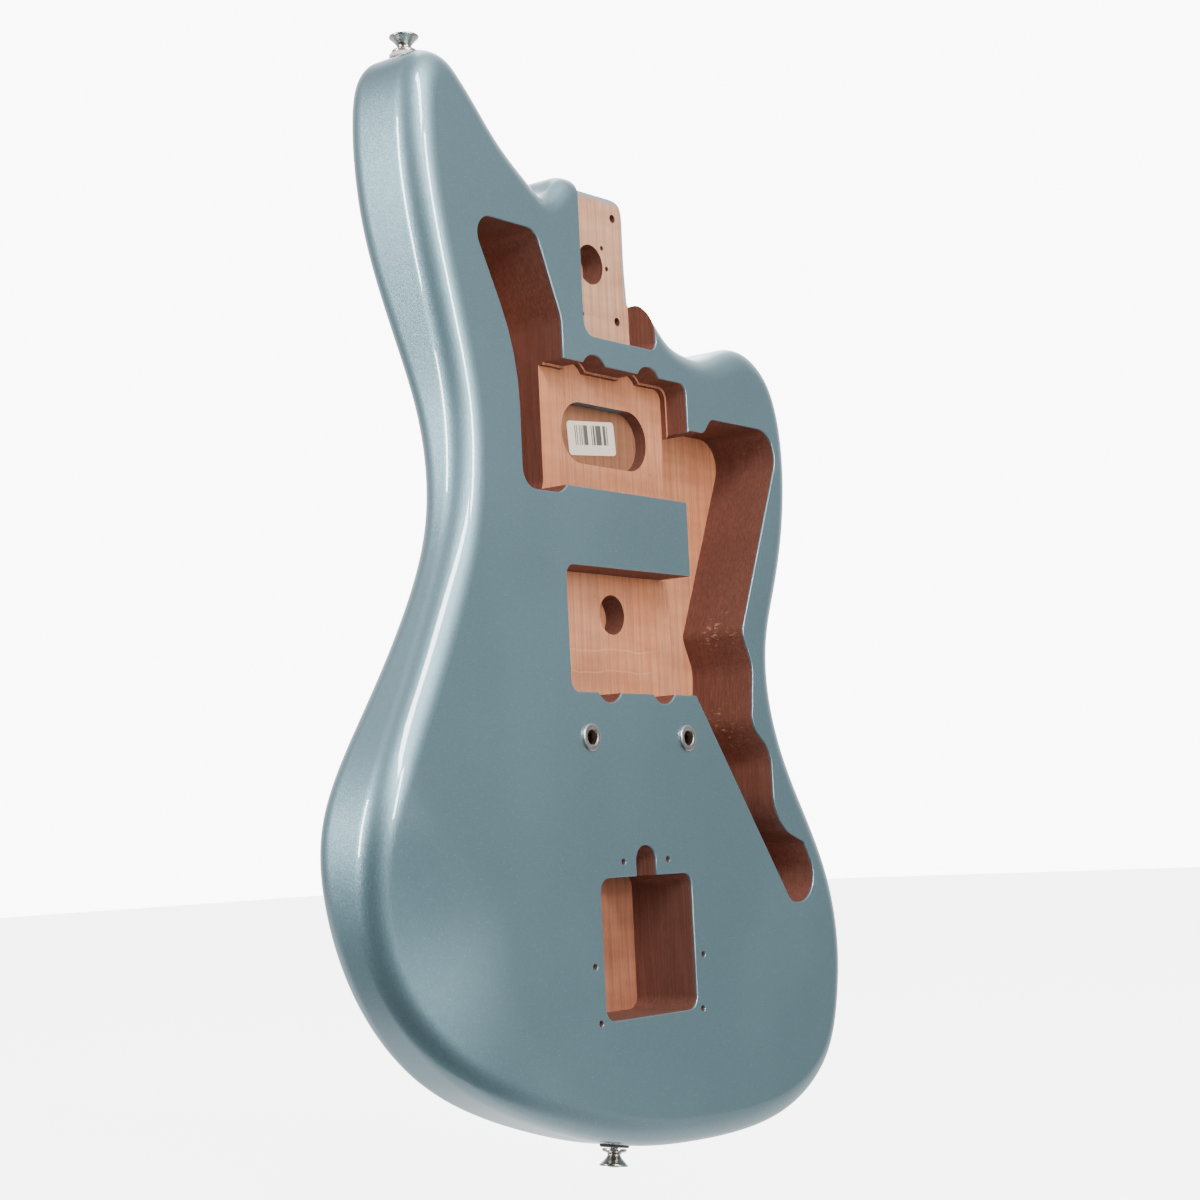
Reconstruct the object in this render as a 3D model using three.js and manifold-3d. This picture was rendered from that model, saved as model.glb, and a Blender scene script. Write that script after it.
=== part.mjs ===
import * as THREE from "three";
import { mergeVertices } from "three/addons/utils/BufferGeometryUtils.js";
import Module from "manifold-3d";

const wasm = await Module();
wasm.setup();

// A bare solid electric guitar body with an offset waist, in millimetres.
// X runs to the treble side, Y from the face to the back, and Z to the neck.
// Depths are measured from the face, and heights from the line through the two bridge posts.

// Body
const bodyLength = 489;
const bodyWidth = 342;
const bodyThickness = 44.5;
const edgeRadius = 12.7;
const glueLineX = -31;
const bendRoomShare = 0.84;
const bendSpreadShare = 0.25;
const overrun = 20;

// Belly cut, on the back at the bass waist
const bellyCutDepth = 17;
const bellyCutWidthShare = 0.24;
const bellyCutHeightShare = 0.1718;
const bellyCutReachShare = 0.3067;

// Forearm contour, on the face at the bass lower bout
const forearmDepth = 10;
const forearmWidthShare = 0.181;
const forearmHeightShare = -0.194;
const forearmReachShare = 0.18;

// Neck pocket and heel
const pocketWidth = 55.6;
const pocketShift = 0.4;
const pocketLength = 75.3;
const pocketDepth = 15.9;
const pocketEndShare = 0.37914;
const pocketBassCorner = 7;
const pocketTrebleCorner = 5;
const heelInset = 1.8;
const heelCorner = 6;
const shoulderWidthShare = 0.89;
const cutawayFloor = 3;
const neckScrewMargin = 15.6;
const neckScrewSpacingX = 38.1;
const neckScrewSpacingZ = 50.8;
const neckScrewRadius = 2.1;
const toolingHoleRadius = 1.2;
const toolingHoleDepth = 6;
const pocketHoleRadius = 9.6;
const pocketHoleDepth = 12;
const pocketHoleMargin = 40.6;

// Slot for the upper switches, on the bass side
const slotTopShare = 0.4679;
const slotBottomShare = 0.22454;
const slotLeftShare = -0.2228;
const slotRightShare = -0.1287;
const slotLean = 29.5;
const slotTopWidth = 45.5;
const slotStraight = 60;
const slotCorner = 9;
const slotSweep = 100;

// Pickup cavities
const pickupCorner = 5.5;
const neckPickupTopShare = 0.35215;
const neckPickupBottomShare = 0.23272;
const neckPickupRight = 50.8;
const neckPickupDepth = 15;
const ledgeDepth = 12.2;
const ledgeWidth = 1.1;
const bridgePickupTopShare = 0.1591;
const bridgePickupBottomShare = 0.04172;
const bridgePickupLeft = -48.7;
const bridgePickupDepth = 18.5;
const notchRadius = 10;
const notchSpacing = 41.6;
const notchReach = 4.5;
const recessLength = 65;
const recessHeight = 29;
const recessDepth = 6.2;
const recessOffset = 3.5;
const bridgeHoleRadius = 9.4;
const bridgeHoleDepth = 11;
const bridgeHoleOffset = 7.2;
const bridgeHoleDrop = 18.8;

// Control cavity, on the treble side
const controlDepth = 36.6;
const controlTopShare = 0.32147;
const controlHeight = 238.7;
const controlRightShare = 0.4114;
const controlNeckLeft = 49.5;
const controlBridgeLeft = 53;
const islandRight = 46.6;

// Tremolo rout
const tremoloWidth = 69.2;
const tremoloTopShare = -0.12924;
const tremoloLength = 63.2;
const tremoloDepth = 35.4;
const tremoloCorner = 6;
const tremoloSlotWidth = 15;
const tremoloSlotLength = 13.9;
const tremoloScrewRadius = 1.5;
const tremoloScrewDepth = 14;
const tremoloScrewSpacings = [34, 82.6, 77.6];
const tremoloScrewDrops = [-6.9, 38.5, 63.5];

// Bridge post thimbles
const postSpacing = 73.8;
const thimbleRadius = 5.2;
const thimbleLength = 21;
const thimbleBore = 3.5;
const thimbleFloor = 2;
const flangeRadius = 6.2;
const flangeHeight = 1.2;
const flangeEdge = 0.4;

// Strap buttons, their screws and their felt washers
const fitGap = 0.3;
const buttonRadius = 6.6;
const buttonFoot = 5.7;
const buttonNeck = 3;
const buttonHeight = 8;
const footHeight = 1.8;
const neckHeight = 1.2;
const rimHeight = 0.9;
const screwRadius = 1.8;
const screwLength = 27;
const screwPoint = 4;
const screwHeadRadius = 3.8;
const screwDome = 1.1;
const washerRadius = 6.9;
const washerHeight = 0.9;
const upperButtonShare = -0.348;
const lowerButtonShare = 0.0129;

// Paper label in the recess
const labelWidth = 36;
const labelHeight = 16.2;
const labelThickness = 0.2;
const labelCorner = 2;
const labelTurnDegrees = 5;
const labelOffset = -2.2;

const pocketLeft = pocketShift - pocketWidth / 2;
const pocketRight = pocketShift + pocketWidth / 2;
const pocketEnd = bodyLength * pocketEndShare;
const pocketHoleHeight = pocketEnd + pocketHoleMargin;
const neckScrewRow = pocketEnd + neckScrewMargin;
const heelEnd = pocketEnd + pocketLength;
const heelRight = pocketRight - heelInset;
const slotTop = bodyLength * slotTopShare;
const slotBottom = bodyLength * slotBottomShare;
const slotLeft = bodyWidth * slotLeftShare;
const slotRight = bodyWidth * slotRightShare;
const neckPickupTop = bodyLength * neckPickupTopShare;
const neckPickupBottom = bodyLength * neckPickupBottomShare;
const bridgePickupTop = bodyLength * bridgePickupTopShare;
const bridgePickupBottom = bodyLength * bridgePickupBottomShare;
const controlWidth = bodyWidth * controlRightShare - controlNeckLeft;
const controlFoot = bodyLength * controlTopShare - controlHeight;
const tremoloTop = bodyLength * tremoloTopShare;
const tremoloBottom = tremoloTop - tremoloLength;
const recessFloor = neckPickupDepth + recessDepth;
const recessZ = (neckPickupTop + neckPickupBottom) / 2;

// The outline is given as shares of the body's width and length, going round from the bass cutaway.
const bassHornShares = [
  [-0.157, 0.514], [-0.19, 0.529], [-0.232, 0.551], [-0.268, 0.577], [-0.3, 0.598],
  [-0.324, 0.61], [-0.352, 0.613], [-0.378, 0.605], [-0.395, 0.585], [-0.402, 0.552],
];
const bassSideShares = [
  [-0.4, 0.501], [-0.384, 0.438], [-0.357, 0.364], [-0.337, 0.3], [-0.335, 0.242],
  [-0.349, 0.18], [-0.388, 0.112], [-0.435, 0.044], [-0.477, -0.013],
];
const lowerBoutShares = [
  [-0.506, -0.071], [-0.501, -0.133], [-0.476, -0.191], [-0.426, -0.248], [-0.348, -0.298],
  [-0.247, -0.333], [-0.132, -0.359], [-0.015, -0.378], [0.102, -0.385], [0.22, -0.386],
  [0.322, -0.378], [0.404, -0.355], [0.458, -0.319], [0.484, -0.269], [0.494, -0.215],
];
const trebleSideShares = [
  [0.481, -0.155], [0.446, -0.101], [0.404, -0.054], [0.366, -0.006], [0.343, 0.047],
  [0.344, 0.098], [0.368, 0.144], [0.395, 0.195], [0.411, 0.248],
];
const trebleHornShares = [
  [0.415, 0.297], [0.406, 0.342], [0.381, 0.38], [0.337, 0.402], [0.295, 0.406],
  [0.253, 0.396], [0.212, 0.388], [0.173, 0.389], [0.132, 0.396], [0.103, 0.413],
];

// Turns shares of the body's width and length into outline points with the full edge radius.
function fromShares(shares) {
  return shares.map(([across, along]) => new THREE.Vector3(across * bodyWidth, along * bodyLength, 1));
}

// The bass cutaway's floor lies a little below the point where the horn begins.
const [hornStartAcross, hornStartAlong] = bassHornShares[0];
const shoulderWidth = (pocketLeft - bodyWidth * hornStartAcross) * shoulderWidthShare;
const cutawayDepth = heelEnd - bodyLength * hornStartAlong + cutawayFloor;

// From the pocket to the bottom of the bass cutaway, as shares of the shoulder's width and its drop.
const shoulderShares = [[0.05, 0], [0.27, 0.05], [0.465, 0.235], [0.635, 0.53], [0.81, 0.84], [1, 1]];

// The heel follows the neck pocket. The third value is the share of the edge radius that a point gets.
function heelPoints() {
  const cornerIn = heelCorner / 6;
  const softRound = 0.55;
  const shoulderRound = 0.84;
  const smallRound = 0.22;
  const sideLow = pocketEnd + pocketLength * 0.32;
  const sideMiddle = pocketEnd + pocketLength * 0.6;
  const trebleEnd = [
    [heelRight + heelInset, sideLow, 1],
    [heelRight + cornerIn, sideLow + heelCorner, softRound],
    [heelRight, sideLow + heelCorner * 3, smallRound],
    [heelRight, sideMiddle + heelCorner * 2, smallRound],
    [heelRight, heelEnd - heelCorner * 1.6, smallRound],
    [heelRight - cornerIn, heelEnd - heelCorner / 2, smallRound],
    [heelRight - heelCorner, heelEnd, smallRound],
    [heelRight - heelCorner * 3, heelEnd, smallRound],
    [pocketLeft + heelCorner * 3, heelEnd, softRound],
    [pocketLeft + heelCorner, heelEnd, shoulderRound],
  ];
  const bassEnd = shoulderShares.map(([across, down]) => {
    return [pocketLeft - across * shoulderWidth, heelEnd - down * cutawayDepth, shoulderRound];
  });
  return [...trebleEnd, ...bassEnd].map(([x, z, round]) => new THREE.Vector3(x, z, round));
}

// A cubic B-spline runs inside its points, so each point is first pushed out by what the curve cuts off.
function controlPoints(points) {
  return points.map((point, index) => {
    const before = points[(index + points.length - 1) % points.length];
    const after = points[(index + 1) % points.length];
    const bend = point.clone().multiplyScalar(2).sub(before).sub(after);
    return point.clone().addScaledVector(bend, 1 / 6);
  });
}

function splinePoint(a, b, c, d, t) {
  const weights = [
    (1 - t) ** 3 / 6,
    (3 * t ** 3 - 6 * t ** 2 + 4) / 6,
    (-3 * t ** 3 + 3 * t ** 2 + 3 * t + 1) / 6,
    t ** 3 / 6,
  ];
  const point = new THREE.Vector3();
  [a, b, c, d].forEach((corner, index) => point.addScaledVector(corner, weights[index]));
  return point;
}

// Walks once round the body with short steps where the outline turns quickly.
function bodyOutline() {
  const degreesPerStep = 6.5;
  const controls = controlPoints([
    ...fromShares(bassHornShares),
    ...fromShares(bassSideShares),
    ...fromShares(lowerBoutShares),
    ...fromShares(trebleSideShares),
    ...fromShares(trebleHornShares),
    ...heelPoints(),
  ]);
  const points = [];
  controls.forEach((control, index) => {
    const [b, c, d] = [1, 2, 3].map((step) => controls[(index + step) % controls.length]);
    const start = splinePoint(control, b, c, d, 0);
    const middle = splinePoint(control, b, c, d, 0.5);
    const end = splinePoint(control, b, c, d, 1);
    const turn = THREE.MathUtils.radToDeg(flatAngle(start, middle, end));
    const steps = Math.max(1, Math.round((2 * turn) / degreesPerStep));
    for (let step = 0; step < steps; step++) {
      points.push(splinePoint(control, b, c, d, step / steps));
    }
  });
  return points;
}

function flatAngle(a, b, c) {
  const first = new THREE.Vector2(b.x - a.x, b.y - a.y);
  const second = new THREE.Vector2(c.x - b.x, c.y - b.y);
  return Math.acos(THREE.MathUtils.clamp(first.dot(second) / (first.length() * second.length()), -1, 1));
}

// The radius of the circle through three points, endless where the outline is straight or hollow.
function bendRadius(a, b, c) {
  const turn = (b.x - a.x) * (c.y - b.y) - (b.y - a.y) * (c.x - b.x);
  const legs = Math.hypot(b.x - a.x, b.y - a.y) * Math.hypot(c.x - b.x, c.y - b.y);
  return turn > 0 ? (legs * Math.hypot(c.x - a.x, c.y - a.y)) / (2 * turn) : Infinity;
}

// Each station holds its place, the direction out of the body and the room that the bend leaves inside.
function outlineStations() {
  const points = bodyOutline();
  const stations = points.map((point, index) => {
    const before = points[(index + points.length - 1) % points.length];
    const after = points[(index + 1) % points.length];
    const along = new THREE.Vector2(after.x - before.x, after.y - before.y).normalize();
    return {
      place: new THREE.Vector2(point.x, point.y),
      outward: new THREE.Vector2(along.y, -along.x),
      bend: bendRadius(before, point, after),
      roundShare: THREE.MathUtils.clamp(point.z, 0.1, 1),
    };
  });
  return stations.map((station) => {
    const room = Math.min(...stations.map((other) => {
      return other.bend * bendRoomShare + other.place.distanceTo(station.place) * bendSpreadShare;
    }));
    return { ...station, room, radius: Math.min(edgeRadius * station.roundShare, room) };
  });
}

const stations = outlineStations();

// A smooth rise and fall round a height, from 0 to 1 and back.
function swell(height, centre, reach) {
  const offset = (height - centre) / reach;
  return Math.abs(offset) < 1 ? Math.cos((Math.PI / 2) * offset) : 0;
}

// One edge from the flat face, down the contour and round the edge to the side, as inset and depth.
function edgeProfile(radius, cut, width) {
  const rampShares = [1, 0.62, 0.28];
  const roundSteps = 5;
  const slope = Math.atan((2 * cut) / width);
  const turn = Math.PI / 2 - slope;
  const rampStart = radius * (1 - Math.cos(turn));
  const profile = rampShares.map((share) => [rampStart + width * share, cut * (1 - share) ** 2]);
  for (let step = roundSteps; step >= 0; step--) {
    const angle = (turn * step) / roundSteps;
    profile.push([radius * (1 - Math.cos(angle)), cut + radius * (Math.sin(turn) - Math.sin(angle))]);
  }
  return profile;
}

// All the rings of a station, from the middle of the face round the side to the middle of the back.
function stationRings(station) {
  const onBassSide = station.place.x < glueLineX && station.outward.x < 0;
  const narrow = station.radius / 20;
  const [belly, forearm] = [
    [bellyCutHeightShare, bellyCutReachShare],
    [forearmHeightShare, forearmReachShare],
  ].map(([height, reach]) => {
    return onBassSide ? swell(station.place.y, height * bodyLength, reach * bodyLength) : 0;
  });
  const frontWidth = narrow + forearm * forearmWidthShare * bodyWidth;
  const backWidth = narrow + belly * bellyCutWidthShare * bodyWidth;
  const front = edgeProfile(station.radius, forearmDepth * forearm ** 2, frontWidth);
  const back = edgeProfile(station.radius, bellyCutDepth * belly ** 2, backWidth);
  const rings = [...front, ...back.reverse().map(([inset, depth]) => [inset, bodyThickness - depth])];
  return rings.map(([inset, depth]) => {
    const place = station.place.clone().addScaledVector(station.outward, -inset);
    return [place.x, depth, place.y];
  });
}

// The blank is lofted through the rings of all stations and closed by a flat face and a flat back.
function bodyBlank() {
  const columns = stations.map(stationRings);
  const ringCount = columns[0].length;
  const positions = columns.flat().flat();
  const indices = [];
  columns.forEach((column, index) => {
    const here = index * ringCount;
    const next = ((index + 1) % columns.length) * ringCount;
    for (let ring = 0; ring < ringCount - 1; ring++) {
      indices.push(here + ring, here + ring + 1, next + ring);
      indices.push(next + ring, here + ring + 1, next + ring + 1);
    }
  });
  [0, ringCount - 1].forEach((ring) => {
    const rim = columns.map((column) => new THREE.Vector2(column[ring][0], column[ring][2]));
    THREE.ShapeUtils.triangulateShape(rim, []).forEach(([a, b, c]) => {
      const corners = [a, b, c].map((corner) => corner * ringCount + ring);
      indices.push(...(ring === 0 ? corners : corners.reverse()));
    });
  });
  const geometry = new THREE.BufferGeometry();
  geometry.setAttribute("position", new THREE.Float32BufferAttribute(positions, 3));
  geometry.setIndex(indices);
  return toSolid(geometry);
}

function toSolid(geometry) {
  const bare = geometry.clone();
  bare.deleteAttribute("normal");
  bare.deleteAttribute("uv");
  const merged = mergeVertices(bare);
  return new wasm.Manifold(new wasm.Mesh({
    numProp: 3,
    vertProperties: merged.attributes.position.array,
    triVerts: merged.index.array,
  }));
}

function toGeometry(solid) {
  const mesh = solid.getMesh();
  const geometry = new THREE.BufferGeometry();
  geometry.setAttribute("position", new THREE.BufferAttribute(mesh.vertProperties, 3));
  geometry.setIndex(new THREE.BufferAttribute(mesh.triVerts, 1));
  geometry.computeVertexNormals();
  return geometry;
}

// A closed outline through corners that each have a place and a radius.
function roundedOutline(corners) {
  const radiansPerStep = Math.PI / 10;
  const points = corners.flatMap(([x, z, radius], index) => {
    const corner = new THREE.Vector2(x, z);
    const before = new THREE.Vector2(...corners[(index + corners.length - 1) % corners.length].slice(0, 2));
    const after = new THREE.Vector2(...corners[(index + 1) % corners.length].slice(0, 2));
    const toBefore = before.sub(corner).normalize();
    const toAfter = after.sub(corner).normalize();
    if (radius === 0) {
      return [corner];
    }
    const half = Math.acos(THREE.MathUtils.clamp(toBefore.dot(toAfter), -1, 1)) / 2;
    const middle = toBefore.clone().add(toAfter).normalize();
    const centre = corner.clone().addScaledVector(middle, radius / Math.sin(half));
    const start = corner.clone().addScaledVector(toBefore, radius / Math.tan(half)).sub(centre);
    const turn = (Math.PI - 2 * half) * Math.sign(toAfter.cross(toBefore));
    const steps = Math.max(1, Math.ceil(Math.abs(turn) / radiansPerStep));
    return Array.from({ length: steps + 1 }, (_, step) => {
      return start.clone().rotateAround(new THREE.Vector2(), (turn * step) / steps).add(centre);
    });
  });
  return new THREE.Shape(points);
}

// Turns the share of its shorter side that each corner's round takes up into the round's radius.
function withCornerRadii(corners) {
  return corners.map(([x, z, share], index) => {
    const [toBefore, toAfter] = [corners.length - 1, 1].map((step) => {
      const [otherX, otherZ] = corners[(index + step) % corners.length];
      return new THREE.Vector2(otherX - x, otherZ - z);
    });
    const room = share * Math.min(toBefore.length(), toAfter.length());
    return [x, z, room * Math.tan(toBefore.angleTo(toAfter) / 2)];
  });
}

// A prism of an outline in the plane of the face, between two depths.
function prismGeometry(shape, top, bottom) {
  const geometry = new THREE.ExtrudeGeometry(shape, { depth: bottom - top, bevelEnabled: false });
  geometry.translate(0, 0, -bottom);
  geometry.rotateX(Math.PI / 2);
  return geometry;
}

function cavity(corners, bottom, top = -overrun) {
  return toSolid(prismGeometry(roundedOutline(corners), top, bottom));
}

// A round hole square to the face.
function bore(radius, x, z, top, bottom, sides = 16) {
  const geometry = new THREE.CylinderGeometry(radius, radius, bottom - top, sides);
  geometry.translate(x, (top + bottom) / 2, z);
  return toSolid(geometry);
}

function neckPocket() {
  const pocket = cavity([
    [pocketLeft, pocketEnd, pocketBassCorner],
    [pocketRight, pocketEnd, pocketTrebleCorner],
    [pocketRight, heelEnd + overrun, 0],
    [pocketLeft, heelEnd + overrun, 0],
  ], pocketDepth);
  const rows = [neckScrewRow, neckScrewRow + neckScrewSpacingZ];
  const columns = [-neckScrewSpacingX / 2, neckScrewSpacingX / 2];
  const screwHoles = rows.flatMap((z) => columns.map((x) => {
    return bore(neckScrewRadius, x, z, 0, bodyThickness + overrun, 12);
  }));
  const toolingPlaces = [
    [neckScrewSpacingX / 4, pocketHoleHeight + pocketHoleRadius],
    [neckScrewSpacingX / 3, pocketHoleHeight],
    [-neckScrewSpacingX / 5, neckScrewRow],
  ];
  const toolingHoles = toolingPlaces.map(([x, z]) => {
    return bore(toolingHoleRadius, x, z, 0, pocketDepth + toolingHoleDepth, 8);
  });
  const hole = bore(pocketHoleRadius, 0, pocketHoleHeight, 0, pocketDepth + pocketHoleDepth, 28);
  return [pocket, hole, ...screwHoles, ...toolingHoles];
}

// The slot leans out towards the horn above and runs straight beside the neck pickup.
function switchSlot() {
  const bend = slotBottom + slotStraight;
  return [cavity([
    [slotLeft, slotBottom, slotCorner],
    [slotRight, slotBottom, slotCorner],
    [slotRight, bend + slotLean - slotCorner, slotCorner * 2],
    [slotLeft - slotLean + slotTopWidth, slotTop, slotCorner],
    [slotLeft - slotLean, slotTop, slotCorner],
    [slotLeft, bend, slotSweep],
  ], controlDepth)];
}

function notches(height, side, bottom, radius) {
  const inset = notchRadius - notchReach;
  return [-notchSpacing / 2, notchSpacing / 2].map((x) => {
    return bore(radius, x, height - side * inset, -overrun, bottom, 24);
  });
}

// The neck pickup cavity has a narrow ledge low on its walls and a long recess in its floor.
function neckPickupCavity() {
  const levels = [[0, ledgeDepth], [ledgeWidth, neckPickupDepth]];
  const cuts = levels.flatMap(([inset, bottom]) => [
    cavity([
      [slotRight - slotCorner, neckPickupBottom, 0],
      [neckPickupRight - inset, neckPickupBottom, 0],
      [neckPickupRight - inset, neckPickupTop - inset, pickupCorner],
      [slotRight - slotCorner, neckPickupTop - inset, 0],
    ], bottom),
    ...notches(neckPickupTop, 1, bottom, notchRadius - inset),
  ]);
  const end = recessHeight / 2;
  const left = recessOffset - recessLength / 2;
  const right = recessOffset + recessLength / 2;
  const fullEnd = end * 0.98;
  const recess = cavity([
    [left, recessZ - end, fullEnd],
    [right, recessZ - end, fullEnd],
    [right, recessZ + end, fullEnd],
    [left, recessZ + end, fullEnd],
  ], recessFloor);
  return [...cuts, recess];
}

function bridgePickupCavity() {
  const cut = cavity([
    [bridgePickupLeft, bridgePickupBottom, pickupCorner],
    [controlBridgeLeft + pickupCorner, bridgePickupBottom, 0],
    [controlBridgeLeft + pickupCorner, bridgePickupTop, 0],
    [bridgePickupLeft, bridgePickupTop, pickupCorner],
  ], bridgePickupDepth);
  const holeZ = bridgePickupTop - bridgeHoleDrop;
  const holeBottom = bridgePickupDepth + bridgeHoleDepth;
  const hole = bore(bridgeHoleRadius, bridgeHoleOffset, holeZ, 0, holeBottom, 28);
  return [cut, ...notches(bridgePickupBottom, -1, bridgePickupDepth, notchRadius), hole];
}

// The treble side of the control cavity from its foot up: shares of its width and of its height,
// and the share of the shorter side at each corner that the corner's round takes up.
const controlSideShares = [
  [0.77, 0, 0.21], [1, 0, 0.78], [1, 0.072, 0.217], [0.92, 0.125, 0.126],
  [0.646, 0.1625, 0.577], [0.644, 0.316, 0.42], [0.473, 0.367, 0.334], [0.509, 0.492, 0.232],
  [0.427, 0.563, 0.142], [0.92, 1, 0.342], [0.236, 1, 0.276], [0.1645, 0.968, 0.23],
  [0, 0.968, 0.267],
];

// The control cavity runs down the treble side, round two control positions, to the jack at its foot.
function controlCavity() {
  const side = controlSideShares.map(([across, up, round]) => {
    return [controlNeckLeft + across * controlWidth, controlFoot + up * controlHeight, round];
  });
  return [cavity(withCornerRadii([
    [controlNeckLeft, neckPickupBottom, 0],
    [islandRight, neckPickupBottom, 0],
    [islandRight, bridgePickupTop, 0],
    [controlBridgeLeft, bridgePickupTop, 0],
    [controlBridgeLeft, bridgePickupBottom + ledgeWidth, 0],
    [islandRight, bridgePickupBottom, 0],
    ...side,
  ]), controlDepth)];
}

function tremoloRout() {
  const half = tremoloWidth / 2;
  const slotHalf = tremoloSlotWidth / 2;
  const rout = cavity([
    [-half, tremoloBottom, tremoloCorner],
    [half, tremoloBottom, tremoloCorner],
    [half, tremoloTop, tremoloCorner],
    [-half, tremoloTop, tremoloCorner],
  ], tremoloDepth);
  const slot = cavity([
    [-slotHalf, tremoloTop - tremoloCorner, 0],
    [slotHalf, tremoloTop - tremoloCorner, 0],
    [slotHalf, tremoloTop + tremoloSlotLength, slotHalf * 0.98],
    [-slotHalf, tremoloTop + tremoloSlotLength, slotHalf * 0.98],
  ], tremoloDepth);
  const screwHoles = tremoloScrewDrops.flatMap((drop, row) => [-1, 1].map((side) => {
    const x = (side * tremoloScrewSpacings[row]) / 2;
    return bore(tremoloScrewRadius, x, tremoloTop - drop, -overrun, tremoloScrewDepth, 10);
  }));
  return [rout, slot, ...screwHoles];
}

function thimbleHoles() {
  return [-1, 1].map((side) => {
    const x = (side * postSpacing) / 2;
    return bore(thimbleRadius + fitGap, x, 0, -overrun, thimbleLength + fitGap, 20);
  });
}

// Where the strap buttons sit: at the tip of the bass horn and at the foot near the centre line.
function strapPlaces() {
  const nearest = (choice, x) => choice.reduce((best, station) => {
    return Math.abs(station.place.x - x) < Math.abs(best.place.x - x) ? station : best;
  });
  const hornTop = stations.filter(({ place, outward }) => place.y > slotTop && outward.y > 0);
  const foot = stations.filter(({ place, outward }) => place.y < tremoloBottom && outward.y < 0);
  return [nearest(hornTop, upperButtonShare * bodyWidth), nearest(foot, lowerButtonShare * bodyWidth)];
}

function turnedProfile(points, sides) {
  return new THREE.LatheGeometry(points.map(([radius, height]) => new THREE.Vector2(radius, height)), sides);
}

// The frame of a strap button: local Y points out of the body, starting at the wood.
function strapFrame(station) {
  const frame = new THREE.Group();
  frame.position.set(station.place.x, bodyThickness / 2, station.place.y);
  const outward = new THREE.Vector3(station.outward.x, 0, station.outward.y);
  frame.quaternion.setFromUnitVectors(new THREE.Vector3(0, 1, 0), outward);
  frame.updateMatrix();
  return frame;
}

const buttonBase = washerHeight + 2 * fitGap;
const headSeat = buttonHeight - rimHeight - (screwHeadRadius - screwRadius);

function strapScrewHole(station) {
  const depth = screwLength + fitGap;
  const radius = screwRadius + fitGap;
  const geometry = new THREE.CylinderGeometry(radius, radius, depth + overrun, 12);
  geometry.translate(0, (overrun - depth) / 2, 0);
  geometry.applyMatrix4(strapFrame(station).matrix);
  return toSolid(geometry);
}

function buttonGeometry() {
  const hole = screwRadius + fitGap;
  const neckTop = footHeight + neckHeight;
  const countersink = screwHeadRadius + fitGap * 2;
  return turnedProfile([
    [hole, 0],
    [buttonFoot, 0],
    [buttonFoot, footHeight / 2],
    [buttonNeck + rimHeight, footHeight],
    [buttonNeck, footHeight + rimHeight / 2],
    [buttonNeck, neckTop],
    [buttonRadius, buttonHeight - rimHeight],
    [buttonRadius, buttonHeight],
    [buttonRadius - rimHeight, buttonHeight],
    [countersink, headSeat + countersink - hole],
    [hole, headSeat],
    [hole, 0],
  ], 28);
}

function screwGeometry() {
  const seat = headSeat + fitGap;
  const headEdge = seat + screwHeadRadius - screwRadius;
  return turnedProfile([
    [0, -screwLength - buttonBase],
    [screwRadius, screwPoint - screwLength - buttonBase],
    [screwRadius, seat],
    [screwHeadRadius, headEdge],
    [screwHeadRadius * 0.6, headEdge + screwDome * 0.75],
    [0, headEdge + screwDome],
  ], 16);
}

// A flat ring whose underside follows the edge of the body.
function washerGeometry(frame) {
  const hole = screwRadius + fitGap;
  const ring = toSolid(turnedProfile([
    [hole, -washerHeight],
    [washerRadius, -washerHeight],
    [washerRadius, washerHeight + fitGap],
    [hole, washerHeight + fitGap],
    [hole, -washerHeight],
  ], 28));
  const edge = stations.map(({ place, outward }) => place.clone().addScaledVector(outward, fitGap));
  const wood = prismGeometry(new THREE.Shape(edge), 0, bodyThickness);
  wood.applyMatrix4(frame.matrix.clone().invert());
  return toGeometry(ring.subtract(toSolid(wood)));
}

// A cup with a closed floor and a flange that rests on the face.
function thimbleGeometry() {
  return turnedProfile([
    [0, -thimbleLength],
    [thimbleRadius, -thimbleLength],
    [thimbleRadius, 0],
    [flangeRadius, 0],
    [flangeRadius, flangeHeight - flangeEdge],
    [flangeRadius - flangeEdge, flangeHeight],
    [thimbleBore + flangeEdge, flangeHeight],
    [thimbleBore, flangeHeight - flangeEdge],
    [thimbleBore, thimbleFloor - thimbleLength],
    [0, thimbleFloor - thimbleLength],
  ], 24);
}

function labelGeometry() {
  const [halfWidth, halfHeight] = [labelWidth / 2, labelHeight / 2];
  const turn = THREE.MathUtils.degToRad(labelTurnDegrees);
  const centre = new THREE.Vector2(recessOffset + labelOffset, recessZ);
  const corners = [[-1, -1], [1, -1], [1, 1], [-1, 1]].map(([across, up]) => {
    const corner = new THREE.Vector2(across * halfWidth, up * halfHeight);
    corner.rotateAround(new THREE.Vector2(), turn).add(centre);
    return [corner.x, corner.y, labelCorner];
  });
  return prismGeometry(roundedOutline(corners), recessFloor - labelThickness, recessFloor);
}

// One board of the body, on one side of the glue line.
function board(blank, left, right) {
  const height = 2 * bodyLength;
  const geometry = new THREE.BoxGeometry(right - left, height, height);
  geometry.translate((left + right) / 2, 0, 0);
  return toGeometry(blank.intersect(toSolid(geometry)));
}

function named(name, geometry, material) {
  const mesh = new THREE.Mesh(geometry, material);
  mesh.name = name;
  return mesh;
}

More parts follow.
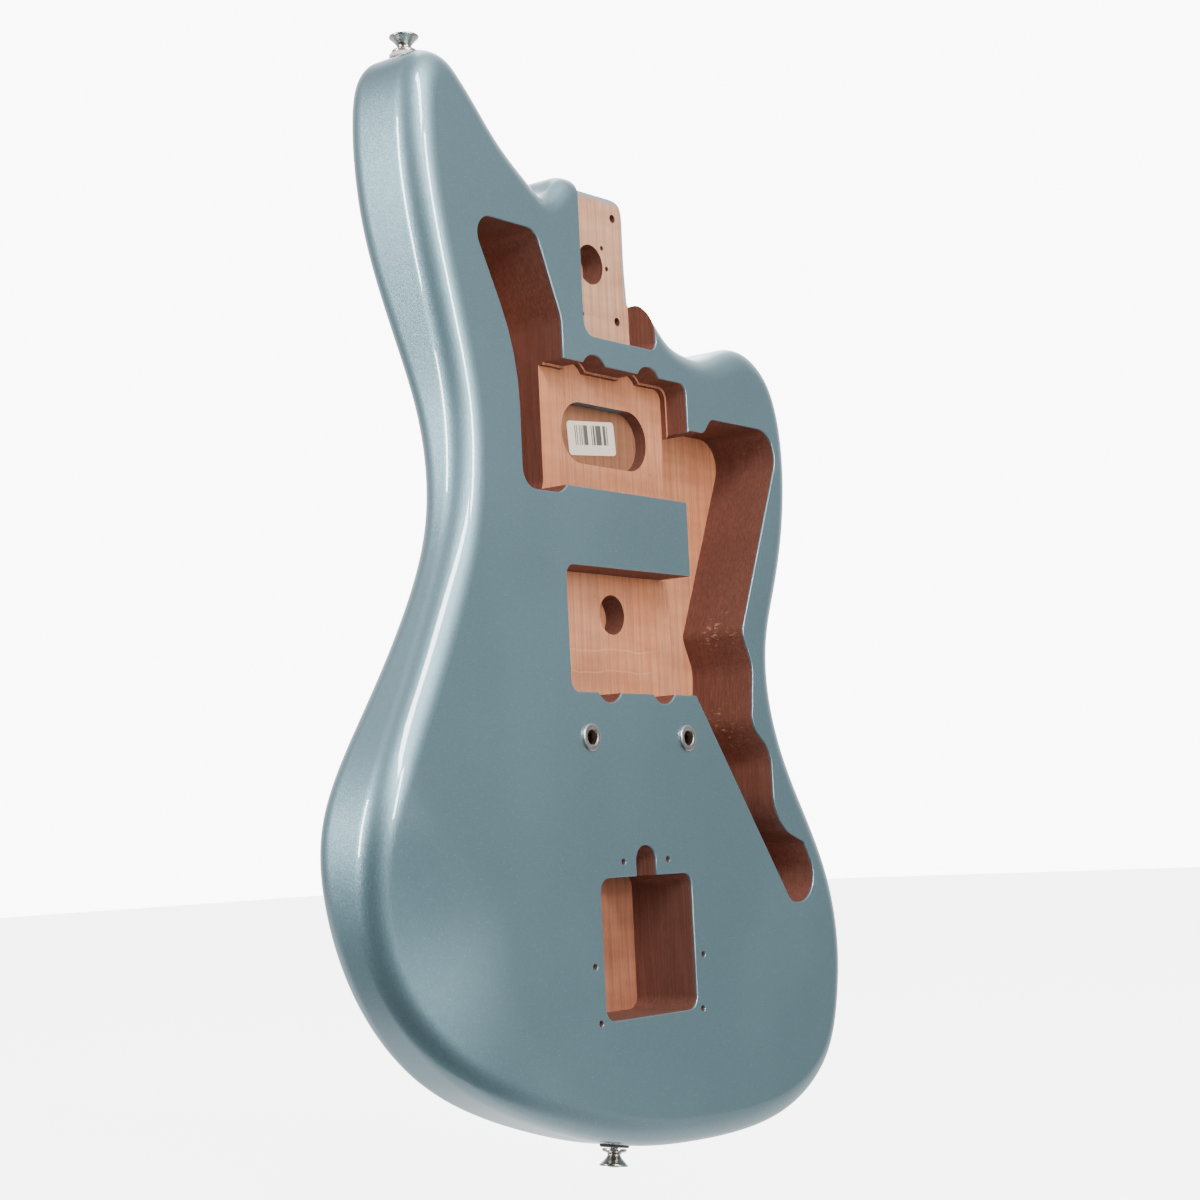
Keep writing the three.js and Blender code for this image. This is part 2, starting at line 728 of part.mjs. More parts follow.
const bassLacquer = new THREE.MeshStandardMaterial({ color: 0x8fa9b2, roughness: 0.25, metalness: 0.4 });
const trebleLacquer = new THREE.MeshStandardMaterial({ color: 0x8aa3ac, roughness: 0.25, metalness: 0.4 });
const nickel = new THREE.MeshStandardMaterial({ color: 0xb9b1a8, roughness: 0.3, metalness: 1 });
const steel = new THREE.MeshStandardMaterial({ color: 0xa8a4a0, roughness: 0.35, metalness: 1 });
const felt = new THREE.MeshStandardMaterial({ color: 0xe6dccb, roughness: 0.95, metalness: 0 });
const paper = new THREE.MeshStandardMaterial({ color: 0xece6d4, roughness: 0.8, metalness: 0 });

const [upperStrap, lowerStrap] = strapPlaces();

const cuts = [
  ...neckPocket(),
  ...switchSlot(),
  ...neckPickupCavity(),
  ...bridgePickupCavity(),
  ...controlCavity(),
  ...tremoloRout(),
  ...thimbleHoles(),
  strapScrewHole(upperStrap),
  strapScrewHole(lowerStrap),
];
const routedBody = cuts.reduce((solid, cut) => solid.subtract(cut), bodyBlank());

const guitarBody = new THREE.Group();
guitarBody.position.set(0, -pocketDepth, -neckScrewRow);
guitarBody.add(named("board_bass", board(routedBody, -bodyWidth, glueLineX), bassLacquer));
guitarBody.add(named("board_treble", board(routedBody, glueLineX, bodyWidth), trebleLacquer));

[["bass", -1], ["treble", 1]].forEach(([side, sign]) => {
  const thimble = named(`bridge_thimble_${side}`, thimbleGeometry(), nickel);
  thimble.position.x = (sign * postSpacing) / 2;
  thimble.rotation.x = Math.PI;
  guitarBody.add(thimble);
});

[["upper", upperStrap], ["lower", lowerStrap]].forEach(([place, station]) => {
  const frame = strapFrame(station);
  const washer = named(`strap_washer_${place}`, washerGeometry(frame), felt);
  const button = named(`strap_button_${place}`, buttonGeometry(), nickel);
  const screw = named(`strap_screw_${place}`, screwGeometry(), steel);
  button.position.y = buttonBase;
  screw.position.y = buttonBase;
  frame.add(washer, button, screw);
  guitarBody.add(frame);
});

guitarBody.add(named("label", labelGeometry(), paper));

export default guitarBody;
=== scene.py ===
import math

import bmesh
import bpy
from mathutils import Matrix, Vector


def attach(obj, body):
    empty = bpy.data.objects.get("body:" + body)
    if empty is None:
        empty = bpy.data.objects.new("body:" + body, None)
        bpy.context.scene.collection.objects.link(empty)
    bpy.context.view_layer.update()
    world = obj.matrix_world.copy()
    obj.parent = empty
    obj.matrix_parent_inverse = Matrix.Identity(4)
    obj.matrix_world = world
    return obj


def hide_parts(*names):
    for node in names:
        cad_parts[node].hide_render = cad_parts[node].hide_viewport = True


bl_info = {
    "name": "Offset guitar body",
    "version": (1, 0, 0),
    "blender": (4, 5, 0),
    "location": "3D View > Sidebar > Guitar Body",
    "description": "Dresses the packed guitar body in metallic lacquer, raw wood and nickel",
    "category": "Object",
}

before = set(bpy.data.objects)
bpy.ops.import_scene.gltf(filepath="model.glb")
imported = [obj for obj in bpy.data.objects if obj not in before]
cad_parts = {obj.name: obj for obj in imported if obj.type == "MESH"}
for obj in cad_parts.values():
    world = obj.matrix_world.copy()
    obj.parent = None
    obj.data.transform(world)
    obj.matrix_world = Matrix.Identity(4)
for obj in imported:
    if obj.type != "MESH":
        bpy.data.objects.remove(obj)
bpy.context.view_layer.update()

# Places are written in millimetres: across from the centre line to the treble side,
# depth from the face to the back, and height from the line through the bridge posts.
MM = 0.001
ORIGIN_DEPTH = 15.9
ORIGIN_HEIGHT = 201
OVERRUN = 20


def at(across, depth, height):
    """A point of the body in metres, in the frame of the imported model."""
    return Vector((across, depth - ORIGIN_DEPTH, height - ORIGIN_HEIGHT)) * MM


def length(name, description, millimetres):
    return bpy.props.FloatProperty(
        name=name, description=description, default=millimetres * MM, unit="LENGTH", precision=4
    )


def colour(name, description, value):
    return bpy.props.FloatVectorProperty(
        name=name, description=description, default=value, subtype="COLOR", size=3, min=0, max=1
    )


class BlankSizes(bpy.types.PropertyGroup):
    body_length: length("Length", "Length that the outline's shares are taken of", 489)
    body_width: length("Width", "Width that the outline's shares are taken of", 342)
    thickness: length("Thickness", "From the face to the back", 44.5)
    edge_radius: length("Edge radius", "Round of the face and back edges", 12.7)
    glue_line: length("Glue line", "Place of the joint between the two boards", -31)
    belly_depth: length("Belly cut depth", "Deepest point of the cut on the back", 17)
    belly_width: length("Belly cut width", "How far the cut reaches in from the edge", 82)
    forearm_depth: length("Forearm contour depth", "Deepest point of the contour on the face", 10)
    forearm_width: length("Forearm contour width", "How far the contour reaches in", 62)


class RoutSizes(bpy.types.PropertyGroup):
    pocket_depth: length("Neck pocket depth", "From the face to the pocket's floor", 15.9)
    neck_pickup_depth: length("Neck pickup depth", "Depth of the neck pickup's cavity", 15)
    bridge_pickup_depth: length("Bridge pickup depth", "Depth of the bridge pickup's cavity", 18.5)
    control_depth: length("Control depth", "Depth of the control cavity and the slot", 36.6)
    tremolo_depth: length("Tremolo depth", "Depth of the tremolo rout", 35.4)
    rim_radius: length("Rim radius", "Soft lacquered edge round each cavity", 0.55)


class HardwareSizes(bpy.types.PropertyGroup):
    thimble_radius: length("Thimble radius", "Outer radius of a bridge thimble's tube", 5.2)
    flange_radius: length("Flange radius", "Outer radius of a bridge thimble's flange", 6.2)
    button_radius: length("Button radius", "Widest radius of a strap button", 6.6)
    button_height: length("Button height", "From the washer to the button's rim", 8)
    washer_radius: length("Washer radius", "Outer radius of a felt washer", 6.9)


class BodyColours(bpy.types.PropertyGroup):
    lacquer: colour("Lacquer", "Ice blue of the metallic lacquer", (0.235, 0.375, 0.43))
    flake: colour("Flake", "Bright flakes in the lacquer", (0.5, 0.64, 0.68))
    floor_wood: colour("Floor wood", "Raw wood on the cavity floors", (0.63, 0.242, 0.112))
    wall_wood: colour("Wall wood", "Raw wood on the cavity walls", (0.22, 0.083, 0.056))
    pocket_wood: colour("Pocket wood", "Raw wood on the neck pocket's floor", (0.68, 0.39, 0.25))
    nickel: colour("Nickel", "Satin nickel plate", (0.66, 0.62, 0.57))
    felt: colour("Felt", "Pale felt of the upper washer", (0.78, 0.72, 0.6))
    paper: colour("Paper", "Paper of the label", (0.8, 0.71, 0.55))


# Outline of the body, as shares of its width and length, going round from the bass cutaway
BASS_HORN_SHARES = [
    (-0.157, 0.514), (-0.19, 0.529), (-0.232, 0.551), (-0.268, 0.577), (-0.3, 0.598),
    (-0.324, 0.61), (-0.352, 0.613), (-0.378, 0.605), (-0.395, 0.585), (-0.402, 0.552),
]
BASS_SIDE_SHARES = [
    (-0.4, 0.501), (-0.384, 0.438), (-0.357, 0.364), (-0.337, 0.3), (-0.335, 0.242),
    (-0.349, 0.18), (-0.388, 0.112), (-0.435, 0.044), (-0.477, -0.013),
]
LOWER_BOUT_SHARES = [
    (-0.506, -0.071), (-0.501, -0.133), (-0.476, -0.191), (-0.426, -0.248), (-0.348, -0.298),
    (-0.247, -0.333), (-0.132, -0.359), (-0.015, -0.378), (0.102, -0.385), (0.22, -0.386),
    (0.322, -0.378), (0.404, -0.355), (0.458, -0.319), (0.484, -0.269), (0.494, -0.215),
]
TREBLE_SIDE_SHARES = [
    (0.481, -0.155), (0.446, -0.101), (0.404, -0.054), (0.366, -0.006), (0.343, 0.047),
    (0.344, 0.098), (0.368, 0.144), (0.395, 0.195), (0.411, 0.248),
]
TREBLE_HORN_SHARES = [
    (0.415, 0.297), (0.406, 0.342), (0.381, 0.38), (0.337, 0.402), (0.295, 0.406),
    (0.253, 0.396), (0.212, 0.388), (0.173, 0.389), (0.132, 0.396), (0.103, 0.413),
]
SHOULDER_SHARES = [(0.05, 0), (0.27, 0.05), (0.465, 0.235), (0.635, 0.53), (0.81, 0.84), (1, 1)]
BELLY_HEIGHT = 84
BELLY_REACH = 150
FOREARM_HEIGHT = -95
FOREARM_REACH = 88

# Neck pocket and heel
POCKET_WIDTH = 55.6
POCKET_SHIFT = 0.4
POCKET_LENGTH = 75.3
POCKET_END = 185.4
POCKET_LEFT = POCKET_SHIFT - POCKET_WIDTH / 2
POCKET_RIGHT = POCKET_SHIFT + POCKET_WIDTH / 2
POCKET_BASS_CORNER = 7
POCKET_TREBLE_CORNER = 5
HEEL_END = POCKET_END + POCKET_LENGTH
HEEL_INSET = 1.8
HEEL_CORNER = 6
SHOULDER_WIDTH = 23.4
CUTAWAY_DEPTH = 12.4
SCREW_SPACING_ACROSS = 38.1
SCREW_SPACING_ALONG = 50.8
NECK_SCREW_RADIUS = 2.1
TOOLING_HOLE_RADIUS = 1.2
TOOLING_HOLE_DEPTH = 6
POCKET_HOLE_HEIGHT = 226
POCKET_HOLE_RADIUS = 9.6
POCKET_HOLE_DEPTH = 12

# Cavities
SLOT_LEFT = -76.2
SLOT_RIGHT = -44
SLOT_TOP = 228.8
SLOT_BOTTOM = 109.8
SLOT_LEAN = 29.5
SLOT_TOP_WIDTH = 45.5
SLOT_STRAIGHT = 60
SLOT_CORNER = 9
SLOT_SWEEP = 100
NECK_PICKUP_TOP = 172.2
NECK_PICKUP_BOTTOM = 113.8
NECK_PICKUP_RIGHT = 50.8
PICKUP_CORNER = 5.5
LEDGE_DEPTH = 12.2
LEDGE_WIDTH = 1.1
BRIDGE_PICKUP_TOP = 77.8
BRIDGE_PICKUP_BOTTOM = 20.4
BRIDGE_PICKUP_LEFT = -48.7
NOTCH_RADIUS = 10
NOTCH_SPACING = 41.6
NOTCH_REACH = 4.5
RECESS_LENGTH = 65
RECESS_HEIGHT = 29
RECESS_DEPTH = 6.2
RECESS_OFFSET = 3.5
BRIDGE_HOLE = (7.2, 59)
BRIDGE_HOLE_RADIUS = 9.4
BRIDGE_HOLE_DEPTH = 11
CONTROL_TOP = 157.2
CONTROL_HEIGHT = 238.7
CONTROL_WIDTH = 91.2
CONTROL_NECK_LEFT = 49.5
CONTROL_BRIDGE_LEFT = 53
ISLAND_RIGHT = 46.6
CONTROL_SIDE_SHARES = [
    (0.77, 0, 0.094), (1, 0, 0.147), (1, 0.072, 0.13), (0.92, 0.125, 0.055),
    (0.646, 0.1625, 0.24), (0.644, 0.316, 0.188), (0.473, 0.367, 0.13), (0.509, 0.492, 0.175),
    (0.427, 0.563, 0.066), (0.92, 1, 0.154), (0.236, 1, 0.066), (0.1645, 0.968, 0.055),
    (0, 0.968, 0.044),
]
TREMOLO_HALF_WIDTH = 34.6
TREMOLO_TOP = -63.2
TREMOLO_BOTTOM = -126.4
TREMOLO_CORNER = 6
TREMOLO_SLOT_HALF = 7.5
TREMOLO_SLOT_TOP = -49.3
TREMOLO_SCREWS = [(17, -56.3), (41.3, -101.7), (38.8, -126.7)]
TREMOLO_SCREW_RADIUS = 1.5
TREMOLO_SCREW_DEPTH = 14

# Hardware
POST_HALF_SPACING = 36.9
THIMBLE_LENGTH = 21
THIMBLE_BORE = 3.5
THIMBLE_FLOOR = 2
THIMBLE_HOLE_RADIUS = 5.5
THIMBLE_HOLE_DEPTH = 21.3
STRAP_SCREW_LENGTH = 27
STRAP_SCREW_RADIUS = 1.8
STRAP_SCREW_POINT = 4
BUTTON_HOLE_RADIUS = 2.1
BUTTON_BASE = 1.5
BUTTON_LIP = 0.9
BUTTON_DISH = 2

# Label
LABEL_MIDDLE = (1.3, 21, 143)
LABEL_TURN = 5
BAR_WIDTH = 0.7


# Selecting and finishing


def object_mode():
    if bpy.context.mode != "OBJECT":
        bpy.ops.object.mode_set(mode="OBJECT")


def only(*pieces):
    """Selects these pieces and nothing else."""
    object_mode()
    bpy.ops.object.select_all(action="DESELECT")
    for piece in pieces:
        piece.select_set(True)
    bpy.context.view_layer.objects.active = pieces[0]


def apply_modifiers(piece):
    only(piece)
    for modifier in list(piece.modifiers):
        bpy.ops.object.modifier_apply(modifier=modifier.name)


def edit_mode(action):
    """Opens the active piece's mesh with all or nothing of it selected."""
    bpy.ops.object.mode_set(mode="EDIT")
    bpy.ops.mesh.select_all(action=action)


def add_modifier(piece, kind, **settings):
    modifier = piece.modifiers.new(kind, kind)
    for name, value in settings.items():
        setattr(modifier, name, value)


def outward(piece):
    """Merges doubles and turns every face outwards."""
    only(piece)
    edit_mode("SELECT")
    bpy.ops.mesh.remove_doubles(threshold=1e-7)
    bpy.ops.mesh.normals_make_consistent(inside=False)
    object_mode()


def smooth(piece, degrees):
    only(piece)
    bpy.ops.object.shade_smooth_by_angle(angle=math.radians(degrees))


def even_normals(piece):
    """Lets large flat faces keep their own normal beside rounds."""
    add_modifier(piece, "WEIGHTED_NORMAL", keep_sharp=True, weight=60)
    apply_modifiers(piece)


def place_on_axis(piece, origin, direction):
    """Stands a piece that was made along Z on an axis of the body, with its place in its mesh."""
    turn = Vector((0, 0, 1)).rotation_difference(direction).to_matrix().to_4x4()
    piece.matrix_world = Matrix.Translation(origin) @ turn
    only(piece)
    bpy.ops.object.transform_apply(location=True, rotation=True, scale=True)


def fill_ring(mesh, layer_name, ring):
    """Closes one end ring of a loft with a single face."""
    bpy.ops.mesh.select_all(action="DESELECT")
    work = bmesh.from_edit_mesh(mesh)
    layer = work.verts.layers.int[layer_name]
    for edge in work.edges:
        edge.select = all(vert[layer] == ring for vert in edge.verts)
    bmesh.update_edit_mesh(mesh)
    bpy.ops.mesh.edge_face_add()


def loose_ring(name, count):
    """A ring of points whose places are then set one by one."""
    bpy.ops.object.select_all(action="DESELECT")
    bpy.ops.mesh.primitive_circle_add(vertices=count, fill_type="NOTHING")
    piece = bpy.context.active_object
    piece.name = name
    piece.data.name = name
    return piece


def lofted(name, rings):
    """A closed solid through rings of points, extruded from the first ring to the last."""
    piece = loose_ring(name, len(rings[0]))
    mesh = piece.data
    mesh.attributes.new("station", "INT", "POINT")
    mesh.attributes.new("ring", "INT", "POINT")
    for vertex in mesh.vertices:
        mesh.attributes["station"].data[vertex.index].value = vertex.index
        vertex.co = rings[0][vertex.index]
    edit_mode("SELECT")
    for number, ring in enumerate(rings[1:], 1):
        bpy.ops.mesh.extrude_edges_move()
        work = bmesh.from_edit_mesh(mesh)
        station = work.verts.layers.int["station"]
        level = work.verts.layers.int["ring"]
        for vert in work.verts:
            if vert.select:
                vert.co = ring[vert[station]]
                vert[level] = number
        bmesh.update_edit_mesh(mesh)
    fill_ring(mesh, "ring", 0)
    fill_ring(mesh, "ring", len(rings) - 1)
    bpy.ops.mesh.select_all(action="SELECT")
    bpy.ops.mesh.normals_make_consistent(inside=False)
    object_mode()
    return piece


def turned(name, profile, steps=96, bevel=0.0, segments=3):
    """A turned piece from a profile of radius and height, spun round Z."""
    piece = loose_ring(name, len(profile))
    for vertex, (radius, height) in zip(piece.data.vertices, profile):
        vertex.co = Vector((radius, 0, height)) * MM
    edit_mode("DESELECT")
    work = bmesh.from_edit_mesh(piece.data)
    for edge in work.edges:
        edge.select = all(abs(vert.co.x) < 1e-9 for vert in edge.verts)
    bmesh.update_edit_mesh(piece.data)
    bpy.ops.mesh.delete(type="EDGE")
    bpy.ops.mesh.select_all(action="SELECT")
    bpy.ops.mesh.spin(steps=steps, angle=2 * math.pi, use_auto_merge=True,
                      center=(0, 0, 0), axis=(0, 0, 1))
    outward(piece)
    if bevel:
        add_modifier(piece, "BEVEL", width=bevel * MM, segments=segments, limit_method="ANGLE",
                     angle_limit=math.radians(25))
        apply_modifiers(piece)
    smooth(piece, 32)
    return piece


# Outline of the body


def from_shares(shares, sizes):
    return [
        Vector((across * sizes.body_width / MM, along * sizes.body_length / MM, 1))
        for across, along in shares
    ]


def heel_points():
    """Round the heel. The third value is the share of the edge radius that a point gets."""
    right = POCKET_RIGHT - HEEL_INSET
    corner_in = HEEL_CORNER / 6
    soft_round = 0.55
    shoulder_round = 0.84
    small_round = 0.22
    side_low = POCKET_END + POCKET_LENGTH * 0.32
    side_middle = POCKET_END + POCKET_LENGTH * 0.6
    treble_end = [
        (right + HEEL_INSET, side_low, 1),
        (right + corner_in, side_low + HEEL_CORNER, soft_round),
        (right, side_low + HEEL_CORNER * 3, small_round),
        (right, side_middle + HEEL_CORNER * 2, small_round),
        (right, HEEL_END - HEEL_CORNER * 1.6, small_round),
        (right - corner_in, HEEL_END - HEEL_CORNER / 2, small_round),
        (right - HEEL_CORNER, HEEL_END, small_round),
        (right - HEEL_CORNER * 3, HEEL_END, small_round),
        (POCKET_LEFT + HEEL_CORNER * 3, HEEL_END, soft_round),
        (POCKET_LEFT + HEEL_CORNER, HEEL_END, shoulder_round),
    ]
    bass_end = [
        (POCKET_LEFT - across * SHOULDER_WIDTH, HEEL_END - down * CUTAWAY_DEPTH, shoulder_round)
        for across, down in SHOULDER_SHARES
    ]
    return [Vector(point) for point in treble_end + bass_end]


def spline_point(corners, t):
    weights = (
        (1 - t) ** 3 / 6,
        (3 * t ** 3 - 6 * t ** 2 + 4) / 6,
        (-3 * t ** 3 + 3 * t ** 2 + 3 * t + 1) / 6,
        t ** 3 / 6,
    )
    point = Vector((0, 0, 0))
    for corner, weight in zip(corners, weights):
        point += corner * weight
    return point


def body_outline(sizes, degrees_per_step=1.6, longest_step=6):
    """Walks once round the body along a closed cubic B-spline."""
    places = [
        *from_shares(BASS_HORN_SHARES, sizes),
        *from_shares(BASS_SIDE_SHARES, sizes),
        *from_shares(LOWER_BOUT_SHARES, sizes),
        *from_shares(TREBLE_SIDE_SHARES, sizes),
        *from_shares(TREBLE_HORN_SHARES, sizes),
        *heel_points(),
    ]
    count = len(places)
    controls = [
        places[i] + (places[i] * 2 - places[i - 1] - places[(i + 1) % count]) / 6
        for i in range(count)
    ]
    points = []
    for i in range(count):
        corners = [controls[(i + step) % count] for step in range(4)]
        ends = [spline_point(corners, t).to_2d() for t in (0, 0.5, 1)]
        turn = math.degrees((ends[1] - ends[0]).angle(ends[2] - ends[1]))
        span = (ends[2] - ends[0]).length
        steps = max(1, math.ceil(2 * turn / degrees_per_step), math.ceil(span / longest_step))
        points += [spline_point(corners, step / steps) for step in range(steps)]
    return points


def stations(sizes):
    """Each station is its place on the outline, the direction out of the body and its radius."""
    points = body_outline(sizes)
    found = []
    for i, point in enumerate(points):
        along = (points[(i + 1) % len(points)] - points[i - 1]).to_2d().normalized()
        share = min(max(point.z, 0.1), 1)
        found.append((point.to_2d(), Vector((along.y, -along.x)), sizes.edge_radius / MM * share))
    return found


def swell(height, centre, reach):
    offset = (height - centre) / reach
    return math.cos(math.pi / 2 * offset) if abs(offset) < 1 else 0


def edge_profile(radius, cut, width, ramp_steps=12, round_steps=14):
    """From the flat face, down a contour and round the edge to the side, as inset and depth."""
    slope = math.atan(2 * cut / width)
    turn = math.pi / 2 - slope
    start = radius * (1 - math.cos(turn))
    profile = []
    for step in range(ramp_steps):
        share = 1 - step / ramp_steps
        profile.append((start + width * share, cut * (1 - share) ** 2))
    for step in range(round_steps, -1, -1):
        angle = turn * step / round_steps
        inset = radius * (1 - math.cos(angle))
        profile.append((inset, cut + radius * (math.sin(turn) - math.sin(angle))))
    return profile


def blank_rings(sizes):
    """The rings of the whole blank, from the rim of the face round the side to the back."""
    thickness = sizes.thickness / MM
    columns = []
    for place, direction, radius in stations(sizes):
        bass = place.x < sizes.glue_line / MM
        belly = swell(place.y, BELLY_HEIGHT, BELLY_REACH) if bass else 0
        forearm = swell(place.y, FOREARM_HEIGHT, FOREARM_REACH) if bass else 0
        narrow = radius / 20
        front = edge_profile(radius, sizes.forearm_depth / MM * forearm ** 2,
                             narrow + forearm * sizes.forearm_width / MM)
        back = edge_profile(radius, sizes.belly_depth / MM * belly ** 2,
                            narrow + belly * sizes.belly_width / MM)
        section = front + [(inset, thickness - depth) for inset, depth in reversed(back)]
        columns.append([
            at(place.x - direction.x * inset, depth, place.y - direction.y * inset)
            for inset, depth in section
        ])
    return [list(ring) for ring in zip(*columns)]


# Cutters for the cavities


def rounded(corners, degrees_per_step=7):
    """Points of a closed outline whose corners each have a place and a radius."""
    points = []
    count = len(corners)
    for i, (across, height, radius) in enumerate(corners):
        corner = Vector((across, height))
        before = (Vector(corners[i - 1][:2]) - corner).normalized()
        after = (Vector(corners[(i + 1) % count][:2]) - corner).normalized()
        if radius == 0:
            points.append(corner)
            continue
        half = before.angle(after) / 2
        centre = corner + (before + after).normalized() * (radius / math.sin(half))
        start = corner + before * (radius / math.tan(half)) - centre
        side = 1 if before.x * after.y - before.y * after.x < 0 else -1
        turn = (math.pi - 2 * half) * side
        steps = max(1, math.ceil(math.degrees(abs(turn)) / degrees_per_step))
        for step in range(steps + 1):
            angle = turn * step / steps
            points.append(centre + Matrix.Rotation(angle, 2) @ start)
    return points


def box_outline(left, bottom, right, top, *radii):
    """A box with a radius at each corner, from the lower left one round by the right side."""
    corners = ((left, bottom), (right, bottom), (right, top), (left, top))
    return rounded([(*corner, radius) for corner, radius in zip(corners, radii)])


def circle(across, height, radius, sides=48):
    return [
        Vector((across + radius * math.cos(2 * math.pi * i / sides),
                height + radius * math.sin(2 * math.pi * i / sides)))
        for i in range(sides)
    ]


def grown(points, amount):
    """The outline moved outwards by an even amount."""
    count = len(points)
    area = sum(points[i - 1].cross(points[i]) for i in range(count))
    side = 1 if area > 0 else -1
    moved = []
    for i, point in enumerate(points):
        before = (point - points[i - 1]).normalized()
        after = (points[(i + 1) % count] - point).normalized()
        first = Vector((before.y, -before.x)) * side
        second = Vector((after.y, -after.x)) * side
        middle = (first + second).normalized()
        moved.append(point + middle * (amount / max(middle.dot(second), 0.5)))
    return moved


FINISHES = ("lacquer", "wall", "floor")


def cutter(name, outline, bottom, finishes, rim):
    """A solid that cuts one cavity, with a soft rim where it meets the face."""
    levels = [(bottom, 0.0)]
    if rim:
        for degrees in (0, 30, 60, 90):
            angle = math.radians(degrees)
            levels.append((rim * (1 - math.sin(angle)), rim * (1 - math.cos(angle))))
    levels.append((-OVERRUN, rim))
    rings = []
    for depth, out in levels:
        ring = grown(outline, out) if out else outline
        rings.append([at(point.x, depth, point.y) for point in ring])
    piece = lofted(name, rings)
    for finish in FINISHES:
        piece.data.materials.append(finishes[finish])
    floor_depth = at(0, bottom, 0).y
    rim_depth = at(0, rim, 0).y
    for face in piece.data.polygons:
        if abs(face.center.y - floor_depth) < 1e-6 and abs(face.normal.y) > 0.9:
            face.material_index = FINISHES.index("floor")
        elif face.center.y > rim_depth or not rim:
            face.material_index = FINISHES.index("wall")
    return piece


def notches(height, side, radius):
    inset = (NOTCH_RADIUS - NOTCH_REACH) * side
    return [circle(x, height - inset, radius) for x in (-NOTCH_SPACING / 2, NOTCH_SPACING / 2)]


def switch_slot_outline():
    bend = SLOT_BOTTOM + SLOT_STRAIGHT
    return rounded([
        (SLOT_LEFT, SLOT_BOTTOM, SLOT_CORNER),
        (SLOT_RIGHT, SLOT_BOTTOM, SLOT_CORNER),
        (SLOT_RIGHT, bend + SLOT_LEAN - SLOT_CORNER, SLOT_CORNER * 2),
        (SLOT_LEFT - SLOT_LEAN + SLOT_TOP_WIDTH, SLOT_TOP, SLOT_CORNER),
        (SLOT_LEFT - SLOT_LEAN, SLOT_TOP, SLOT_CORNER),
        (SLOT_LEFT, bend, SLOT_SWEEP),
    ])


def control_outline():
    foot = CONTROL_TOP - CONTROL_HEIGHT
    side = [
        (CONTROL_NECK_LEFT + across * CONTROL_WIDTH, foot + up * CONTROL_HEIGHT,
         turn * CONTROL_WIDTH)
        for across, up, turn in CONTROL_SIDE_SHARES
    ]
    return rounded([
        (CONTROL_NECK_LEFT, NECK_PICKUP_BOTTOM, 0),
        (ISLAND_RIGHT, NECK_PICKUP_BOTTOM, 0),
        (ISLAND_RIGHT, BRIDGE_PICKUP_TOP, 0),
        (CONTROL_BRIDGE_LEFT, BRIDGE_PICKUP_TOP, 0),
        (CONTROL_BRIDGE_LEFT, BRIDGE_PICKUP_BOTTOM + LEDGE_WIDTH, 0),
        (ISLAND_RIGHT, BRIDGE_PICKUP_BOTTOM, 0),
        *side,
    ])


def neck_pickup_outline(inset):
    return box_outline(SLOT_RIGHT - SLOT_CORNER, NECK_PICKUP_BOTTOM, NECK_PICKUP_RIGHT - inset,
                       NECK_PICKUP_TOP - inset, 0, 0, PICKUP_CORNER, 0)


def recess_outline():
    middle = (NECK_PICKUP_TOP + NECK_PICKUP_BOTTOM) / 2
    end = RECESS_HEIGHT / 2
    left = RECESS_OFFSET - RECESS_LENGTH / 2
    right = RECESS_OFFSET + RECESS_LENGTH / 2
    return box_outline(left, middle - end, right, middle + end, *[end * 0.98] * 4)


def bridge_pickup_outline():
    right = CONTROL_BRIDGE_LEFT + PICKUP_CORNER
    return box_outline(BRIDGE_PICKUP_LEFT, BRIDGE_PICKUP_BOTTOM, right, BRIDGE_PICKUP_TOP,
                       PICKUP_CORNER, 0, 0, PICKUP_CORNER)


def pocket_outline():
    return box_outline(POCKET_LEFT, POCKET_END, POCKET_RIGHT, HEEL_END + OVERRUN,
                       POCKET_BASS_CORNER, POCKET_TREBLE_CORNER, 0, 0)


def tremolo_outlines():
    half = TREMOLO_HALF_WIDTH
    slot = TREMOLO_SLOT_HALF
    rout = box_outline(-half, TREMOLO_BOTTOM, half, TREMOLO_TOP, *[TREMOLO_CORNER] * 4)
    lever = box_outline(-slot, TREMOLO_TOP - TREMOLO_CORNER, slot, TREMOLO_SLOT_TOP,
                        0, 0, slot * 0.98, slot * 0.98)
    return rout, lever


